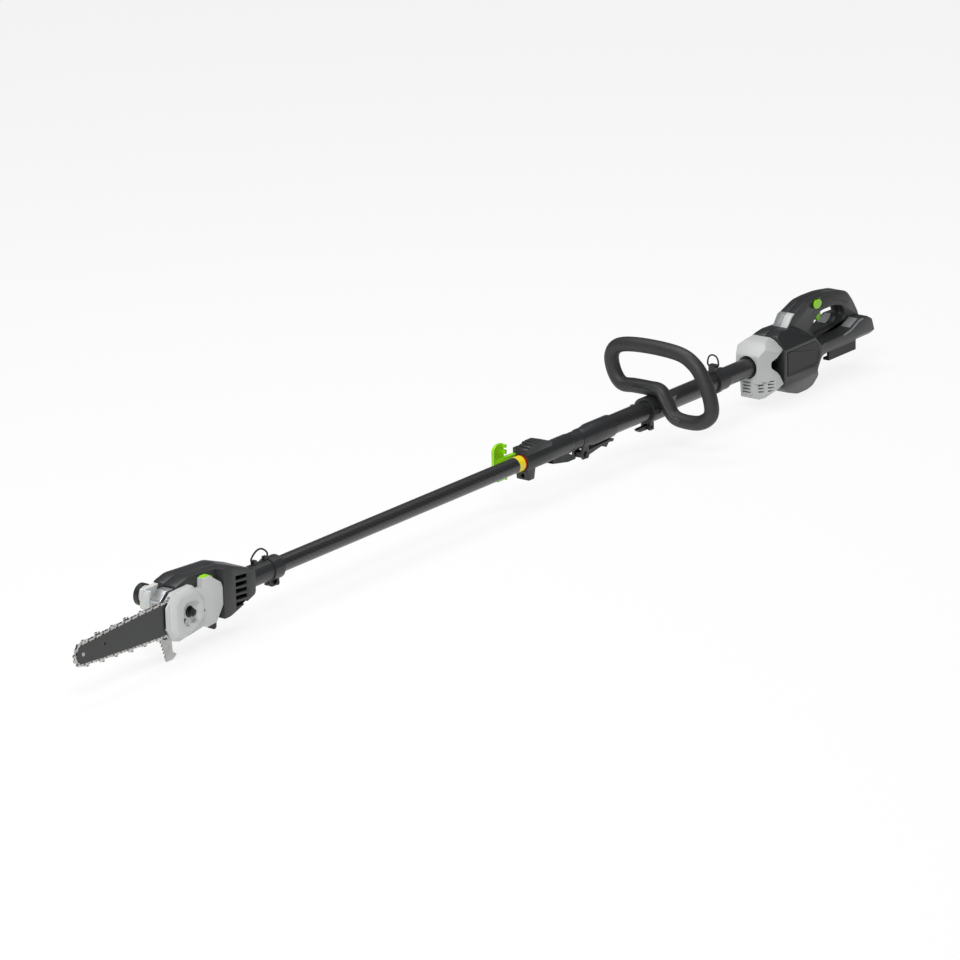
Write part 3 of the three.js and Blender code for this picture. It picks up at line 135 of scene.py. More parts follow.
def ground_metal(name, dark, pale, roughness, stretch=(1, 1, 1), line_mm=1.6):
    """Ground or brushed metal: fine lines along the axis of smallest stretch, and faint handling marks."""
    material, tree, shader, place = start(name)
    drawn = add(tree, "Mapping", {"Vector": place, "Scale": stretch}).outputs["Vector"]
    lines = add(
        tree, "TexNoise", {"Vector": drawn, "Scale": 1 / (line_mm * MM), "Detail": 3.0},
    ).outputs["Fac"]
    marks = add(tree, "TexNoise", {"Vector": place, "Scale": 1 / (12 * MM), "Detail": 5.0}).outputs["Fac"]
    tone = add(tree, "Mix", {0: marks, 6: linear(dark), 7: linear(pale)}, data_type="RGBA").outputs[2]
    gloss = add(tree, "MapRange", {"Value": lines, "To Min": roughness - 0.1, "To Max": roughness + 0.14})
    relief = add(tree, "Bump", {"Height": lines, "Distance": 0.01 * MM, "Strength": 0.4})
    tree.links.new(tone, shader.inputs["Base Color"])
    tree.links.new(gloss.outputs["Result"], shader.inputs["Roughness"])
    tree.links.new(relief.outputs["Normal"], shader.inputs["Normal"])
    shader.inputs["Metallic"].default_value = 1.0
    return material


def carbon_tube(name):
    """Pultruded carbon-fibre tube: a woven skin in two near-black tones under a satin clear coat.

    A real 3K tow is about 2 mm wide; it is drawn 4 mm wide so that it shows from across the room."""
    tow_mm = 4.0
    material, tree, shader, place = start(name)
    round_pole = add(tree, "Mapping", {"Vector": place, "Location": (0, -POLE_Y, -POLE_Z)}).outputs["Vector"]
    across = add(
        tree,
        "TexWave",
        {"Vector": round_pole, "Scale": 1 / (tow_mm * MM) / 5, "Distortion": 0.6, "Detail": 1.0},
        bands_direction="DIAGONAL",
    ).outputs["Fac"]
    fleck = add(
        tree, "TexNoise", {"Vector": round_pole, "Scale": 1 / (2.4 * MM), "Detail": 4.0},
    ).outputs["Fac"]
    weave = add(tree, "Math", {0: across, 1: fleck}, operation="MULTIPLY").outputs[0]
    tone = add(tree, "Mix", {0: weave, 6: linear("1d1d1e"), 7: linear("343537")}, data_type="RGBA").outputs[2]
    gloss = add(tree, "MapRange", {"Value": fleck, "To Min": 0.28, "To Max": 0.5})
    relief = add(tree, "Bump", {"Height": weave, "Distance": 0.05 * MM, "Strength": 0.5})
    tree.links.new(tone, shader.inputs["Base Color"])
    tree.links.new(gloss.outputs["Result"], shader.inputs["Roughness"])
    tree.links.new(relief.outputs["Normal"], shader.inputs["Normal"])
    shader.inputs["Coat Weight"].default_value = 0.4
    shader.inputs["Coat Roughness"].default_value = 0.3
    return material


def milky_tank(name):
    """Blow-moulded polyethylene tank: pale, waxy and slightly see-through, as light spreads in the wall."""
    material, tree, shader, place = start(name)
    cloud = add(tree, "TexNoise", {"Vector": place, "Scale": 1 / (20 * MM), "Detail": 3.0}).outputs["Fac"]
    tone = add(tree, "Mix", {0: cloud, 6: linear("c3c6c3"), 7: linear("e3e5e2")}, data_type="RGBA").outputs[2]
    skin = add(tree, "TexNoise", {"Vector": place, "Scale": 1 / (1.4 * MM), "Detail": 2.0}).outputs["Fac"]
    relief = add(tree, "Bump", {"Height": skin, "Distance": 0.03 * MM, "Strength": 0.5})
    tree.links.new(tone, shader.inputs["Base Color"])
    tree.links.new(relief.outputs["Normal"], shader.inputs["Normal"])
    shader.inputs["Roughness"].default_value = 0.33
    shader.inputs["Subsurface Weight"].default_value = 0.25
    shader.inputs["Subsurface Scale"].default_value = 5 * MM
    shader.inputs["IOR"].default_value = 1.5
    return material


BLACK = moulded("black_nylon", "242526", "303132", 0.38)
DEEP = moulded("black_deep_nylon", "141415", "1e1e1f", 0.5)
RUBBER = moulded("soft_grip_rubber", "29292a", "333334", 0.5, 1.4, 0.05)
GREY = moulded("light_grey_nylon", "bfc0c0", "cdcece", 0.42, coat=0.1)
MID_GREY = moulded("grey_trim", "717375", "8b8d8f", 0.34, coat=0.2)
LIME = moulded("lime_acetal", "8fdc08", "a3ec18", 0.34, coat=0.25)
YELLOW = moulded("yellow_film", "eed808", "f6e41c", 0.36, 1.6, 0.01, 0.3)
RED = moulded("red_film", "a81a14", "bd241c", 0.36, 1.6, 0.01, 0.3)
ENAMEL = moulded("bar_enamel", "1f2021", "292a2b", 0.38, 1.8, 0.02, 0.15)
BOARD = moulded("circuit_board", "174a2b", "1f6238", 0.4)
CARBON = carbon_tube("carbon_fibre_tube")
STEEL = ground_metal("bright_steel", "8f908e", "c6c7c5", 0.3)
CHAIN = ground_metal("chain_steel", "a3a39f", "d6d6d2", 0.27, line_mm=2.5)
DARK_STEEL = ground_metal("blackened_steel", "2f3031", "4a4b4c", 0.36)
CAST = ground_metal("cast_aluminium", "a9abad", "dcdee0", 0.4, line_mm=1.2)
COPPER = ground_metal("copper_wire", "8f4a20", "c27644", 0.35)
TANK = milky_tank("tank_polyethylene")

# ---------------------------------------------------------------- finishes of the frame's own nodes

NODE_FINISH = {
    BLACK: (
        "clamp_body rear_sleeve coupling_spigot tube_collar head_shell_right head_shell_left "
        "head_housing_right head_housing_left loop_bracket loop_clamp_band strap_band oil_cap "
        "latch_lever loop_clamp_lever release_button"
    ),
    DEEP: (
        "tube_seal chip_deflector battery_rail_right battery_rail_left terminal_block oil_pump "
        "badge_plate_right badge_plate_left trigger_switch"
    ),
    RUBBER: "loop_handle",
    GREY: "chain_cover front_cover",
    LIME: "clamp_lever trigger lock_off_button",
    TANK: "oil_tank",
    CARBON: "outer_tube inner_tube",
    ENAMEL: "guide_bar",
    STEEL: (
        "output_shaft front_bearing rear_bearing nose_sprocket tension_screw limb_hook "
        "motor_rotor"
    ),
    CHAIN: "saw_chain",
    DARK_STEEL: (
        "clamp_pin latch_pin latch_hook trigger_pin collar_screw bar_stud bar_nut hang_ring "
        "strap_ring loop_clamp_pin crown_gear drive_sprocket motor_pinion"
    ),
    CAST: "gear_case",
    COPPER: "motor_stator",
    BOARD: "control_board",
}
for finish, names in NODE_FINISH.items():
    for name in names.split():
        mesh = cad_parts[name].data
        mesh.materials.clear()
        mesh.materials.append(finish)

# ---------------------------------------------------------------- making pieces


def finished(name, shape, finish, body, smooth_angle=32, replaced=()):
    """Turns a bmesh drawn in millimetres from the pole's origin into a piece that rides on a body."""
    bmesh.ops.remove_doubles(shape, verts=shape.verts, dist=0.002)
    bmesh.ops.recalc_face_normals(shape, faces=shape.faces)
    bmesh.ops.scale(shape, verts=shape.verts, vec=(MM, MM, MM))
    bmesh.ops.translate(shape, verts=shape.verts, vec=ORIGIN)
    return placed(name, shape, finish, body, smooth_angle, replaced)


def placed(name, shape, finish, body, smooth_angle=32, replaced=()):
    """Makes the piece of a bmesh that is already in metres and in place."""
    limit = math.radians(smooth_angle)
    for face in shape.faces:
        face.smooth = True
    for line in shape.edges:
        if len(line.link_faces) != 2 or line.calc_face_angle(0) > limit:
            line.smooth = False
    mesh = bpy.data.meshes.new(name)
    shape.to_mesh(mesh)
    shape.free()
    mesh.materials.append(finish)
    piece = bpy.data.objects.new(name, mesh)
    bpy.context.scene.collection.objects.link(piece)
    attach(piece, body)
    if replaced:
        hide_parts(*replaced)
    return piece


def bevel(shape, edges, width, segments=2):
    return bmesh.ops.bevel(
        shape, geom=edges, offset=width, offset_type="OFFSET", affect="EDGES", segments=segments, profile=0.5,
        material=-1, clamp_overlap=True,
    )


def sharp(shape, degrees=30):
    limit = math.radians(degrees)
    return [line for line in shape.edges if line.is_manifold and line.calc_face_angle(0) > limit]


def block(shape, low, high):
    """A box between two corners; returns its vertices."""
    size = [h - l for l, h in zip(low, high)]
    centre = [(h + l) / 2 for l, h in zip(low, high)]
    place = Matrix.Translation(centre) @ Matrix.Diagonal((*size, 1))
    return bmesh.ops.create_cube(shape, size=1, matrix=place)["verts"]


def plate(shape, outline, low, high, axis="y"):
    """A slab whose outline is given in the two axes other than `axis`, in x, y, z order."""
    def point(a, b):
        return {"x": (low, a, b), "y": (a, low, b), "z": (a, b, low)}[axis]

    corners = [shape.verts.new(point(a, b)) for a, b in outline]
    face = shape.faces.new(corners)
    raised = bmesh.ops.extrude_face_region(shape, geom=[face])["geom"]
    lifted = [v for v in raised if isinstance(v, bmesh.types.BMVert)]
    shift = {"x": (high - low, 0, 0), "y": (0, high - low, 0), "z": (0, 0, high - low)}[axis]
    bmesh.ops.translate(shape, verts=lifted, vec=shift)
    return corners + lifted


def spun(shape, profile, centre, axis, steps=48):
    """A solid of revolution: profile points are (radius, place along the axis)."""
    along = {"x": Vector((1, 0, 0)), "y": Vector((0, 1, 0)), "z": Vector((0, 0, 1))}[axis]
    out = {"x": Vector((0, 0, 1)), "y": Vector((1, 0, 0)), "z": Vector((1, 0, 0))}[axis]
    centre = Vector(centre)
    verts = [shape.verts.new(centre + out * radius + along * place) for radius, place in profile]
    lines = [shape.edges.new(pair) for pair in zip(verts, verts[1:])]
    made = bmesh.ops.spin(
        shape, geom=verts + lines, cent=centre, axis=along, angle=math.tau, steps=steps, use_merge=True,
    )
    bmesh.ops.remove_doubles(shape, verts=shape.verts, dist=0.0005)
    return made


def swept(shape, path, radius, sides=12, closed=False, squash=1.0):
    """A round bar along a list of points, with its section squashed across if asked."""
    points = [Vector(p) for p in path]
    count = len(points)
    rings = []
    normal = None
    for i, here in enumerate(points):
        before = points[i - 1] if closed or i else here
        after = points[(i + 1) % count] if closed or i < count - 1 else here
        forward = (after - before).normalized()
        if normal is None:
            normal = forward.orthogonal().normalized()
        normal = (normal - forward * normal.dot(forward)).normalized()
        turn = Matrix((normal, forward.cross(normal), forward)).transposed().to_4x4()
        ring = bmesh.ops.create_circle(
            shape, cap_ends=False, segments=sides, radius=radius,
            matrix=Matrix.Translation(here) @ turn @ Matrix.Diagonal((1, squash, 1, 1)),
        )["verts"]
        rings.append(ring)
    pairs = list(zip(rings, rings[1:])) + ([(rings[-1], rings[0])] if closed else [])
    for a, b in pairs:
        lines = {line for v in (*a, *b) for line in v.link_edges if line.other_vert(v) in set(a) | set(b)}
        loop_a = [line for line in lines if set(line.verts) <= set(a)]
        loop_b = [line for line in lines if set(line.verts) <= set(b)]
        bmesh.ops.bridge_loops(shape, edges=loop_a + loop_b)
    if not closed:
        for ring in (rings[0], rings[-1]):
            shape.faces.new(ring)
    return rings


def copied(node):
    """A merged copy of a CAD node's mesh, in metres and in place, with its flat faces joined up again."""
    shape = bmesh.new()
    shape.from_mesh(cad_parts[node].data)
    bmesh.ops.remove_doubles(shape, verts=shape.verts, dist=0.00001)
    bmesh.ops.dissolve_limit(
        shape, angle_limit=math.radians(1), verts=shape.verts, edges=shape.edges, delimit=set()
    )
    return shape


def softened(name, node, finish, body, width_mm, above_mm=-1000):
    """A CAD node with its edges rounded over, as a moulding's are, wherever they lie above a given height."""
    shape = copied(node)
    floor_z = ORIGIN.z + above_mm * MM
    edges = [line for line in sharp(shape, 35) if all(v.co.z > floor_z for v in line.verts)]
    bmesh.ops.bevel(
        shape, geom=edges, offset=width_mm * MM, offset_type="OFFSET", affect="EDGES",
        segments=2, profile=0.5,
        material=-1, clamp_overlap=False,
    )
    return placed(name, shape, finish, body, 40, (node,))


def loop_of(shape, points):
    verts = [shape.verts.new(p) for p in points]
    return [shape.edges.new((a, b)) for a, b in zip(verts, verts[1:] + verts[:1])]


def loft(shape, loops, cap_first=True, cap_last=True):
    """Skins a run of closed loops, each with the same number of points, and closes its ends if asked."""
    rings = [loop_of(shape, points) for points in loops]
    for a, b in zip(rings, rings[1:]):
        bmesh.ops.bridge_loops(shape, edges=a + b)
    ends = ([rings[0]] if cap_first else []) + ([rings[-1]] if cap_last else [])
    for ring in ends:
        bmesh.ops.contextual_create(shape, geom=list({v for line in ring for v in line.verts}) + ring)
    return rings


def drawn_in(outline, share):
    """An outline shrunk towards its own middle."""
    middle_a = sum(p[0] for p in outline) / len(outline)
    middle_b = sum(p[1] for p in outline) / len(outline)
    return [(middle_a + (a - middle_a) * share, middle_b + (b - middle_b) * share) for a, b in outline]


def wall(shape, start_point, end_point, thick, y0, y1):
    """A straight wall standing on one edge of an outline drawn in x and z, thick towards its left."""
    a, b = Vector(start_point), Vector(end_point)
    run = (b - a).normalized()
    side = Vector((-run.y, run.x)) * thick
    plate(shape, [tuple(a), tuple(b), tuple(b + side), tuple(a + side)], y0, y1)


def merged_in(shape, other):
    """Adds one bmesh to another and frees the one added."""
    held = bpy.data.meshes.new("held")
    other.to_mesh(held)
    other.free()
    shape.from_mesh(held)
    bpy.data.meshes.remove(held)

# ---------------------------------------------------------------- bar and chain

BAR_Y = -15
BAR_Z = -4
NOSE_X = -1121.8
BAR_TAIL_X = -824.3
NOSE_HALF = 16.5
ROOT_HALF = 29
SHAFT_X = -795.3
WHEEL_R = 17
CHAIN_LINE = 2.4  # from the bar's edge to the middle of the links


def chain_path():
    """The closed line that the links' rivets follow, as points and outward directions in x and z."""
    run = []
    reach = BAR_TAIL_X - NOSE_X
    for i in range(61):
        share = i / 60 * 0.86
        half = NOSE_HALF + (ROOT_HALF - NOSE_HALF) * math.sin(share * math.pi / 2) + CHAIN_LINE
        run.append((NOSE_X + reach * share, BAR_Z + half))
    wheel = [
        (SHAFT_X + (WHEEL_R + CHAIN_LINE) * math.cos(a), BAR_Z + (WHEEL_R + CHAIN_LINE) * math.sin(a))
        for a in [math.pi / 2 - math.pi * i / 16 for i in range(17)]
    ]
    nose = [
        (NOSE_X + (NOSE_HALF + CHAIN_LINE) * math.cos(a), BAR_Z + (NOSE_HALF + CHAIN_LINE) * math.sin(a))
        for a in [-math.pi / 2 - math.pi * i / 24 for i in range(1, 24)]
    ]
    under = [(x, 2 * BAR_Z - z) for x, z in reversed(run)]
    return [Vector(p) for p in run + wheel + under + nose]


def along_path(points, step):
    """Evenly spaced places on a closed line: (point, forward direction), with the step stretched to fit."""
    lengths = [(b - a).length for a, b in zip(points, points[1:] + points[:1])]
    total = sum(lengths)
    count = 2 * round(total / step / 2)
    places = []
    for i in range(count):
        left = total * i / count
        for a, b, length in zip(points, points[1:] + points[:1], lengths):
            if left <= length:
                places.append((a + (b - a) * (left / length), (b - a).normalized()))
                break
            left -= length
    return places, total / count


def link_plate(shape, outline, w0, w1, frame_matrix):
    """One chain plate: the outline is along and out from the rivets, and w0 to w1 is across the chain."""
    verts = plate(shape, outline, w0, w1)
    bmesh.ops.transform(shape, verts=verts, matrix=frame_matrix)


def make_chain():
    """Low-profile saw chain: drive links, tie straps outside them, and left and right cutters in turn."""
    shape = bmesh.new()
    places, pitch = along_path(chain_path(), 9.3)
    strap = [(-1.8, -2.2), (1.6, -2.6), (pitch / 2, -1.6), (pitch - 1.6, -2.6), (pitch + 1.8, -2.2),
    (pitch + 2.4, 0.4),
             (pitch + 0.8, 2.3), (pitch / 2, 1.2), (-0.8, 2.3), (-2.4, 0.4)]
    drive = [(-2.2, -1.6), (1.2, -2.4), (pitch / 2, -6.2), (pitch - 1.2, -2.4), (pitch + 2.2, -1.6),
    (pitch + 1.6, 2),
             (pitch / 2, 1.6), (-1.6, 2)]
    cutter = [(-2, -2.3), (pitch / 2, -1.4), (pitch + 2, -2.3), (pitch + 2.6, 2.2),
    (pitch + 1.2, 4.6), (pitch - 1.6, 4.8),
              (pitch - 2.4, 1.8), (pitch - 4.2, 1.6), (pitch - 5.4, 5.8), (-1.6, 5.2), (-2.6, 1.0)]
    roof = [(-1.6, 4.6), (pitch - 5.2, 5.2), (pitch - 5.4, 5.9), (-1.6, 5.3)]
    for i, (here, forward) in enumerate(places):
        out = Vector((-forward.y, forward.x))
        turn = Matrix(
            ((forward.x, 0, out.x, here.x), (0, 1, 0, BAR_Y), (forward.y, 0, out.y, here.y), (0, 0, 0, 1))
        )
        if i % 2:
            link_plate(shape, drive, -0.7, 0.7, turn)
        else:
            pair = i // 2
            for side in (-1, 1):
                toothed = pair % 2 == 0 and side == (1 if pair % 4 else -1)
                low, high = sorted((side * 0.9, side * 2.1))
                link_plate(shape, cutter if toothed else strap, low, high, turn)
                if toothed:
                    low, high = sorted((-side * 0.4, side * 3.1))
                    link_plate(shape, roof, low, high, turn)
        rivet = turn @ Matrix.Rotation(math.pi / 2, 4, "X")
        bmesh.ops.create_cone(
            shape, cap_ends=True, segments=8, radius1=1.35, radius2=1.35, depth=5.4, matrix=rivet,
        )
    return finished("chain_links", shape, CHAIN, "inner_pole", 30, ("saw_chain",))


def make_bar_details():
    """The bright rivet that carries the nose sprocket."""
    shape = bmesh.new()
    for side in (-1, 1):
        face = BAR_Y + side * 2.3
        spun(
            shape, [(0, 0), (3.6, 0), (3.4, side * 0.5), (2.2, side * 0.8), (0, side * 0.8)],
            (NOSE_X, face, BAR_Z), "y", 20,
        )
    return finished("bar_rivets", shape, STEEL, "inner_pole")


make_chain()
make_bar_details()

# ---------------------------------------------------------------- chain cover

COVER_OUTLINE = [
    (-912, 17), (-904, 24), (-889, 37), (-842, 39), (-828, 27), (-815, 27), (-814, 43), (
        -796, 43.5,
    ), (-766, 24), (-762, 14),
    (
        -762, -18,
    ), (-781, -45), (-806, -47), (-814, -42), (-826, -44), (-881, -51), (-898, -46), (-903, -36), (-912, -22),
]
BOSS_FOOT = [
    (-903, -24), (-903, 20), (-888, 36), (-850, 38), (-830, 28), (-813, 8), (-815, -22), (-838, -41),
    (-870, -49), (-893, -44),
]
BOSS_TOP = [
    (-893, -19), (-892, 17), (-881, 28), (-852, 29), (-835, 21), (-821, 5), (-822, -19), (-842, -34),
    (-869, -40), (-886, -36),
]
RECESS = [
    (-876, -15), (-874, 8), (-868, 15), (-853, 16), (-838, 13), (-830, 5), (-830, -16), (-836, -24),
    (-859, -30), (-871, -25),
]
NUT = (-854.3, -4)
SCREW = (-868.3, -19)


def in_plane(outline, y):
    return [(x, y, z) for x, z in outline]


def make_cover():
    """The chain cover: a flanged shell with a raised, chamfered boss that has the nut's recess in it."""
    shape = bmesh.new()
    plate(shape, COVER_OUTLINE, -22.4, -19.4)
    bevel(shape, [line for line in sharp(shape) if all(v.co.y < -22 for v in line.verts)], 1.6)
    count = len(COVER_OUTLINE)
    for i in range(1, count - 1):
        wall(shape, COVER_OUTLINE[i + 1], COVER_OUTLINE[i], 2.2, -20, -9.4)
    boss = bmesh.new()
    loft(
        boss,
        [
            in_plane(BOSS_FOOT, -20), in_plane(
                BOSS_FOOT, -22.8,
            ), in_plane(BOSS_TOP, -29.2), in_plane(RECESS, -29.2),
            in_plane(drawn_in(RECESS, 0.84), -23.6),
        ],
    )
    bmesh.ops.remove_doubles(boss, verts=boss.verts, dist=0.001)
    bmesh.ops.recalc_face_normals(boss, faces=boss.faces)
    bevel(boss, sharp(boss, 18), 0.9)
    merged_in(shape, boss)
    return finished("cover_shell", shape, GREY, "inner_pole", 30, ("chain_cover",))


def make_cover_shade_discs():
    """Painted shade in the cover: dark discs on the recess floor, which show as a shadow round the nut, and
    in the adjuster's hole and the small sight hole, where shade falls.
    """
    shape = bmesh.new()
    for (x, z), radius, y in ((NUT, 10.4, -23.5), (SCREW, 6, -23.5), ((-820.5, -11), 2.6, -28.3)):
        spun(
            shape, [(0, 0.3), (radius, 0.3), (radius, -0.1), (radius - 0.5, -0.35), (0, -0.35)],
            (x, y, z), "y", 24,
        )
    return finished("cover_hole_shade", shape, DEEP, "inner_pole")


def make_nut():
    """A flanged hex nut on the stud's rounded end."""
    shape = bmesh.new()
    x, z = NUT
    spun(shape, [(0, 0), (9.2, 0), (9.2, -1.2), (7.4, -2.4), (0, -2.4)], (x, -24.6, z), "y", 36)
    hexagon = [(
        x + 7.4 * math.cos(a), z + 7.4 * math.sin(a),
    ) for a in [math.tau * i / 6 + 0.3 for i in range(6)]]
    plate(shape, hexagon, -26.4, -34.2)
    bevel(shape, [line for line in sharp(shape, 40) if all(v.co.y < -34 for v in line.verts)], 0.9)
    spun(shape, [(0, 0), (3.6, 0), (3.6, -2.6), (2.8, -3.6), (0, -3.8)], (x, -33.2, z), "y", 20)
    return finished("bar_nut_hex", shape, DARK_STEEL, "inner_pole", 30, ("bar_nut",))


def make_screw_head():
    """The tension screw's slotted, domed head, in its recess."""
    shape = bmesh.new()
    x, z = SCREW
    profile = [(0, 0), (4.2, 0), (4.2, -2.2), (3.6, -3.0), (2.0, -3.4), (0, -3.5)]
    spun(shape, profile, (x, -24.8, z), "y", 28)
    block(shape, (x - 3.2, -28.6, z - 0.45), (x + 3.2, -28.1, z + 0.45))
    return finished("tension_screw_head", shape, STEEL, "tension_screw")


def make_catch():
    """The lime catch that shows in the top edge of the cover."""
    shape = bmesh.new()
    plate(shape, [(-813, 40), (-811.5, 46), (-798, 46), (-786, 39.5), (-788, 36)], -20.5, -11)
    bevel(shape, sharp(shape), 0.9)
    return finished("cover_catch", shape, LIME, "inner_pole")


make_cover()
# Dark discs painted as the shade under the nut and in the cover's holes.
make_cover_shade_discs()
make_nut()
make_screw_head()
make_catch()

# ---------------------------------------------------------------- poles

INNER_TUBE_R = 15
INNER_BORE_R = 13
INNER_TUBE_X = (-655, 290)
OUTER_TUBE_R = 19
OUTER_BORE_R = 16.5
OUTER_TUBE_X = (336.3, 940)
BAND_X = (104, 121, 126)  # the yellow band's start, its end where the red one starts, and the red one's end
BAND_PROUD = 0.18


def tube(name, radius, bore, x0, x1, finish, body, replaced, y=0, z=0):
    """A round tube along x with lightly broken end edges."""
    shape = bmesh.new()
    edge = 0.4
    profile = [
        (bore, x0 + edge), (bore + edge, x0), (radius - edge, x0), (radius, x0 + edge), (radius, x1 - edge),
        (radius - edge, x1), (bore + edge, x1), (bore, x1 - edge), (bore, x0 + edge),
    ]
    spun(shape, profile, (0, y, z), "x", 72)
    return finished(name, shape, finish, body, 30, replaced)


def make_rings():
    """The painted bands near the inner pole's end: yellow as a warning, then red where it must stop."""
    proud = INNER_TUBE_R + BAND_PROUD
    for name, x0, x1, finish in (("yellow_band", *BAND_X[:2], YELLOW), ("red_band", *BAND_X[1:], RED)):
        shape = bmesh.new()
        spun(
            shape, [
                (r, x) for r, x in (
                    (INNER_TUBE_R, x0), (proud, x0), (proud, x1), (INNER_TUBE_R, x1),
                    (INNER_TUBE_R, x0),
                )
            ], (0, 0, 0), "x", 64
        )
        finished(name, shape, finish, "inner_pole")


LOOP_X = 545
LOOP_GRIP_R = 14.4
LOOP_LINE = [
    (70, 38), (40, 38), (8, 38), (-20, 36), (-34, 16), (-50, -8), (-74, -15), (
        -112, -12,
    ), (-137, 8), (-135, 40), (-120, 74),
    (-100, 100), (-64, 117), (12, 121), (72, 114), (93, 92), (88, 60),
]


def through(points, steps):
    """A smooth closed line through the points, cut into steps between each pair."""
    out = []
    count = len(points)
    for i in range(count):
        a, b, c, d = (Vector(points[(i + k) % count]) for k in (-1, 0, 1, 2))
        for k in range(steps):
            t = k / steps
            bend = 2 * a - 5 * b + 4 * c - d
            twist = 3 * b - a - 3 * c + d
            out.append(0.5 * (2 * b + (c - a) * t + bend * t * t + twist * t ** 3))
    return out


def make_loop():
    """The loop handle: one soft bar bent into a bail round the pole."""
    shape = bmesh.new()
    line = [Vector((LOOP_X, y, z)) for y, z in through(LOOP_LINE, 6)]
    swept(shape, line, LOOP_GRIP_R, 20, closed=True)
    return finished("loop_grip", shape, RUBBER, "loop_handle", 40, ("loop_handle",))


def make_loop_strap():
    """The raised strap moulded along the loop's front, over the arm that the bracket holds."""
    shape = bmesh.new()
    line = [(34, 40), (8, 41), (-22, 38), (-38, 14), (-53, -9), (-74, -13)]
    swept(shape, [(LOOP_X - 10.5, y, z) for y, z in line], 6.5, 6, squash=0.8)
    bevel(shape, sharp(shape, 35), 0.8)
    return finished("loop_strap", shape, BLACK, "loop_handle")


tube(
    "inner_tube_smooth", INNER_TUBE_R, INNER_BORE_R, INNER_TUBE_X[0], INNER_TUBE_X[1], CARBON,
    "inner_pole", ("inner_tube",),
)
tube(
    "outer_tube_smooth", OUTER_TUBE_R, OUTER_BORE_R, OUTER_TUBE_X[0], OUTER_TUBE_X[1], CARBON,
    "outer_pole", ("outer_tube",),
)
make_rings()
make_loop()
make_loop_strap()

# ---------------------------------------------------------------- softened mouldings

VENTS_TOP_Z = -22
ANY_Z = -1000

for node, finish, body, slot, width, above in (
    ("front_cover", GREY, "outer_pole", "light_grey_plastic", 1.4, VENTS_TOP_Z),
    ("head_shell_left", BLACK, "inner_pole", "black_plastic", 1.2, ANY_Z),
    ("head_shell_right", BLACK, "inner_pole", "black_plastic", 1.2, ANY_Z),
    ("head_housing_left", BLACK, "outer_pole", "black_plastic", 1.6, ANY_Z),
    ("head_housing_right", BLACK, "outer_pole", "black_plastic", 1.6, ANY_Z),
    ("clamp_body", BLACK, "outer_pole", "black_plastic", 0.9, ANY_Z),
    ("rear_sleeve", BLACK, "outer_pole", "black_plastic", 0.9, ANY_Z),
    ("gear_case", CAST, "inner_pole", "aluminium", 1.0, ANY_Z),
    ("oil_tank", TANK, "inner_pole", "tank_plastic", 1.2, ANY_Z),
    ("limb_hook", STEEL, "inner_pole", "steel", 0.4, ANY_Z),
):
    softened(node + "_soft", node, finish, body, width, above)

# ---------------------------------------------------------------- power head's trim


def rimmed(shape, outline, y0, y1, width):
    """A slab with its outer edges rounded, drawn in x and z."""
    verts = set(plate(shape, outline, y0, y1))
    bevel(shape, [line for line in sharp(shape) if set(line.verts) <= verts], width)


def make_handle_trim(name, y0, y1, finish):
    """Half of the facet let into the handle's sloping front."""
    shape = bmesh.new()
    rimmed(shape, [(975.5, 49), (997, 75.5), (1006, 79), (1009, 76), (1000, 72), (981, 49)], y0, y1, 0.8)
    return finished(name, shape, finish, "outer_pole")


BUTTON_X = 1084
BUTTON_Z = 80.6
BUTTON_STEM_R = 8.2
BUTTON_PAD_IN = 20.3  # the pad stands clear of the handle by the button's 3 mm of travel
BUTTON_PAD_OUT = 22.6


def make_lock_button():
    """The lock-off button: a stem through the handle with a domed oval pad at each end."""
    shape = bmesh.new()
    spun(
        shape, [
            (0, -BUTTON_PAD_IN), (BUTTON_STEM_R, -BUTTON_PAD_IN), (BUTTON_STEM_R, BUTTON_PAD_IN),
            (0, BUTTON_PAD_IN),
        ],
        (BUTTON_X, 0, BUTTON_Z), "y", 32,
    )
    for side in (-1, 1):
        pad = bmesh.new()
        profile = [
            (0, BUTTON_PAD_IN), (11.4, BUTTON_PAD_IN), (12, BUTTON_PAD_IN + 0.6), (11.4, BUTTON_PAD_IN + 1.4),
            (8.5, BUTTON_PAD_OUT - 0.3), (0, BUTTON_PAD_OUT),
        ]
        spun(pad, [(radius, side * place) for radius, place in profile], (0, 0, 0), "y", 40)
        bmesh.ops.scale(pad, verts=pad.verts, vec=(1.15, 1, 0.8))
        bmesh.ops.translate(pad, verts=pad.verts, vec=(BUTTON_X, 0, BUTTON_Z))
        merged_in(shape, pad)
    return finished("lock_button", shape, LIME, "lock_off_button", 30, ("lock_off_button",))


def make_badge_frames():
    """The plain raised panel on each side of the motor housing, left blank."""
    shape = bmesh.new()
    for side in (-1, 1):
        y = side * 46.1
        outline = [(942, -27), (942, 16), (950, 18), (1049, -3), (1051, -12), (1044, -27)]
        swept(shape, [(x, y, z) for x, z in outline], 0.9, 8, closed=True)
    return finished("badge_frames", shape, BLACK, "outer_pole")


def make_housing_ribs():
    """Stiffening ribs under the rear of the motor housing."""
    shape = bmesh.new()
    for z in (-78, -72, -66, -60):
        for side in (-1, 1):
            low, high = sorted((side * 8, side * 24))
            block(shape, (1040, low, z - 1.1), (1059.5, high, z + 1.1))
    return finished("housing_ribs", shape, BLACK, "outer_pole")


def make_grip_pads():
    """The soft pads along both sides of the handle's arch."""
    shape = bmesh.new()
    for side in (-1, 1):
        low, high = sorted((side * 16.4, side * 17.9))
        rimmed(
            shape,
            [
                (1104, 69), (1104, 90), (1126, 91), (1174, 84), (1192, 76), (1206, 61), (1195, 55),
                (1182, 62), (1152, 69),
            ],
            low, high, 0.7,
        )
    return finished("grip_pads", shape, RUBBER, "outer_pole")


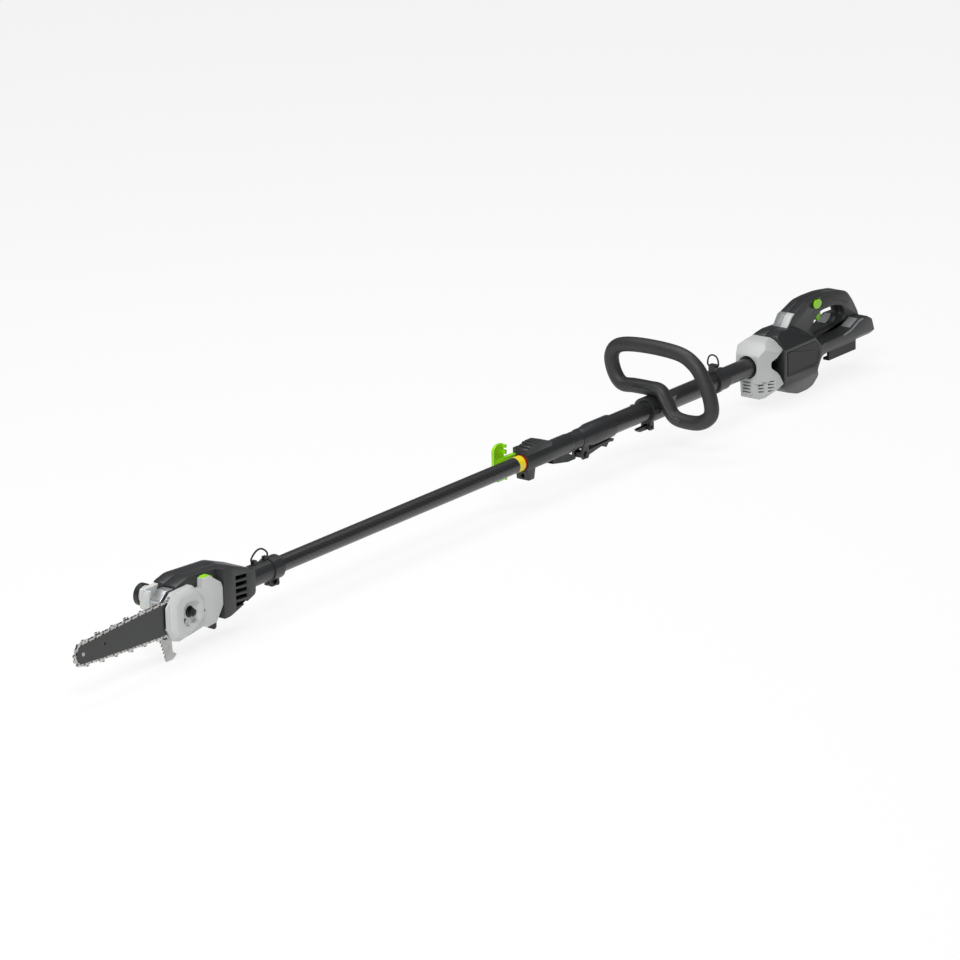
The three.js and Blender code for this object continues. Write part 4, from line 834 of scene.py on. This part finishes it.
def make_bay_trim():
    """Mid-grey lips along the sides of the battery bay's upper edge."""
    shape = bmesh.new()
    for side in (-1, 1):
        low, high = sorted((side * 40, side * 45.2))
        near, far = sorted((side * 19, side * 39))
        rimmed(shape, [(1171, 12.8), (1199, 24.6), (1200, 26.6), (1170, 14.8)], near, far, 0.5)
        rimmed(
            shape,
            [(1142, 7), (1169, 12), (1201, 25), (1212, 25.4), (1212, 22), (1201, 21), (1170, 8.5), (1142, 4)],
            low, high, 0.6,
        )
    return finished("bay_trim", shape, MID_GREY, "outer_pole")


# One grey facet in two halves: the far half's darker mid grey is painted shade on the same grey as the near
# half.
make_handle_trim("handle_trim_near", -17, -0.3, GREY)
make_handle_trim("handle_trim_far", 0.3, 17, MID_GREY)
make_lock_button()
make_badge_frames()
make_housing_ribs()
make_grip_pads()
make_bay_trim()
softened("trigger_soft", "trigger", LIME, "trigger", 1.0)

# ---------------------------------------------------------------- floor, light and camera

VIEW_AZIMUTH = math.radians(-52.5)
VIEW_ELEVATION = math.radians(17.58)
VIEW_ROLL = math.radians(-1.34)
VIEW_DISTANCE = 9.7095
VIEW_LENS_MM = 198.75


def make_floor():
    """A floor seen as white by the camera and in reflections, which keeps a soft shadow."""
    mesh = bpy.data.meshes.new("floor")
    shape = bmesh.new()
    bmesh.ops.create_grid(shape, x_segments=1, y_segments=1, size=30)
    bmesh.ops.translate(shape, verts=shape.verts, vec=(0, 0, size_before[0][2] - 2 * MM))
    shape.to_mesh(mesh)
    floor = bpy.data.objects.new("floor", mesh)
    bpy.context.scene.collection.objects.link(floor)
    material, tree, shader, place = start("white_floor")
    shader.inputs["Base Color"].default_value = linear("f4f4f4")
    shader.inputs["Roughness"].default_value = 0.9
    shader.inputs["Specular IOR Level"].default_value = 0.1
    path = add(tree, "LightPath")
    seen = add(
        tree, "Math", {0: path.outputs["Is Camera Ray"], 1: path.outputs["Is Glossy Ray"]},
        operation="MAXIMUM",
    )
    seen = add(
        tree, "Math", {0: seen.outputs[0], 1: path.outputs["Is Transmission Ray"]}, operation="MAXIMUM",
    )
    white = add(tree, "Emission", {"Color": (1, 1, 1, 1), "Strength": 1.0})
    blend = add(tree, "Math", {0: seen.outputs[0], 1: 0.86}, operation="MULTIPLY")
    mixed = add(tree, "MixShader", {0: blend.outputs[0], 1: shader.outputs[0], 2: white.outputs[0]})
    tree.links.new(mixed.outputs[0], tree.nodes["Material Output"].inputs["Surface"])
    mesh.materials.append(material)


def make_world():
    """Soft studio light from all round; straight to the camera and in reflections it is white."""
    world = bpy.data.worlds.new("studio")
    bpy.context.scene.world = world
    world.use_nodes = True
    tree = world.node_tree
    lighting = tree.nodes["Background"]
    lighting.inputs["Color"].default_value = linear("f2f4f7")
    lighting.inputs["Strength"].default_value = 0.15
    backdrop = add(tree, "Background", {"Color": (1, 1, 1, 1), "Strength": 1.0})
    path = add(tree, "LightPath")
    mixed = add(
        tree, "MixShader",
        {0: path.outputs["Is Camera Ray"], 1: lighting.outputs[0], 2: backdrop.outputs[0]},
    )
    tree.links.new(mixed.outputs[0], tree.nodes["World Output"].inputs["Surface"])


def make_lamp(name, place, target, size, power):
    lamp = bpy.data.lights.new(name, "AREA")
    lamp.energy = power
    lamp.shape = "RECTANGLE"
    lamp.size, lamp.size_y = size
    holder = bpy.data.objects.new(name, lamp)
    holder.location = place
    holder.rotation_euler = (Vector(target) - Vector(place)).to_track_quat("-Z", "Y").to_euler()
    bpy.context.scene.collection.objects.link(holder)


def make_camera():
    target = ORIGIN
    back = Vector(
        (
            math.sin(VIEW_AZIMUTH) * math.cos(VIEW_ELEVATION),
            -math.cos(VIEW_AZIMUTH) * math.cos(VIEW_ELEVATION),
            math.sin(VIEW_ELEVATION),
        )
    )
    level = Vector((math.cos(VIEW_AZIMUTH), math.sin(VIEW_AZIMUTH), 0))
    upright = back.cross(level)
    right = level * math.cos(VIEW_ROLL) + upright * math.sin(VIEW_ROLL)
    up = upright * math.cos(VIEW_ROLL) - level * math.sin(VIEW_ROLL)
    lens = bpy.data.cameras.new("camera")
    lens.lens = VIEW_LENS_MM
    lens.sensor_width = 36
    lens.clip_end = 100
    camera = bpy.data.objects.new("camera", lens)
    turn = Matrix((right, up, back)).transposed().to_4x4()
    camera.matrix_world = Matrix.Translation(target + back * VIEW_DISTANCE) @ turn
    bpy.context.scene.collection.objects.link(camera)
    bpy.context.scene.camera = camera


make_floor()
make_world()
make_lamp("key", (-2.8, -1.6, 3.5), (0, 0, 0.1), (1.8, 1.2), 112)
make_lamp("top", (0.4, 0.6, 3.6), (0, 0, 0.1), (4.0, 1.2), 84)
make_lamp("end", (-4.6, -0.4, 1.6), (-0.6, 0, 0.1), (1.6, 1.6), 34)
make_camera()
view = bpy.context.scene.view_settings
view.view_transform = "Standard"
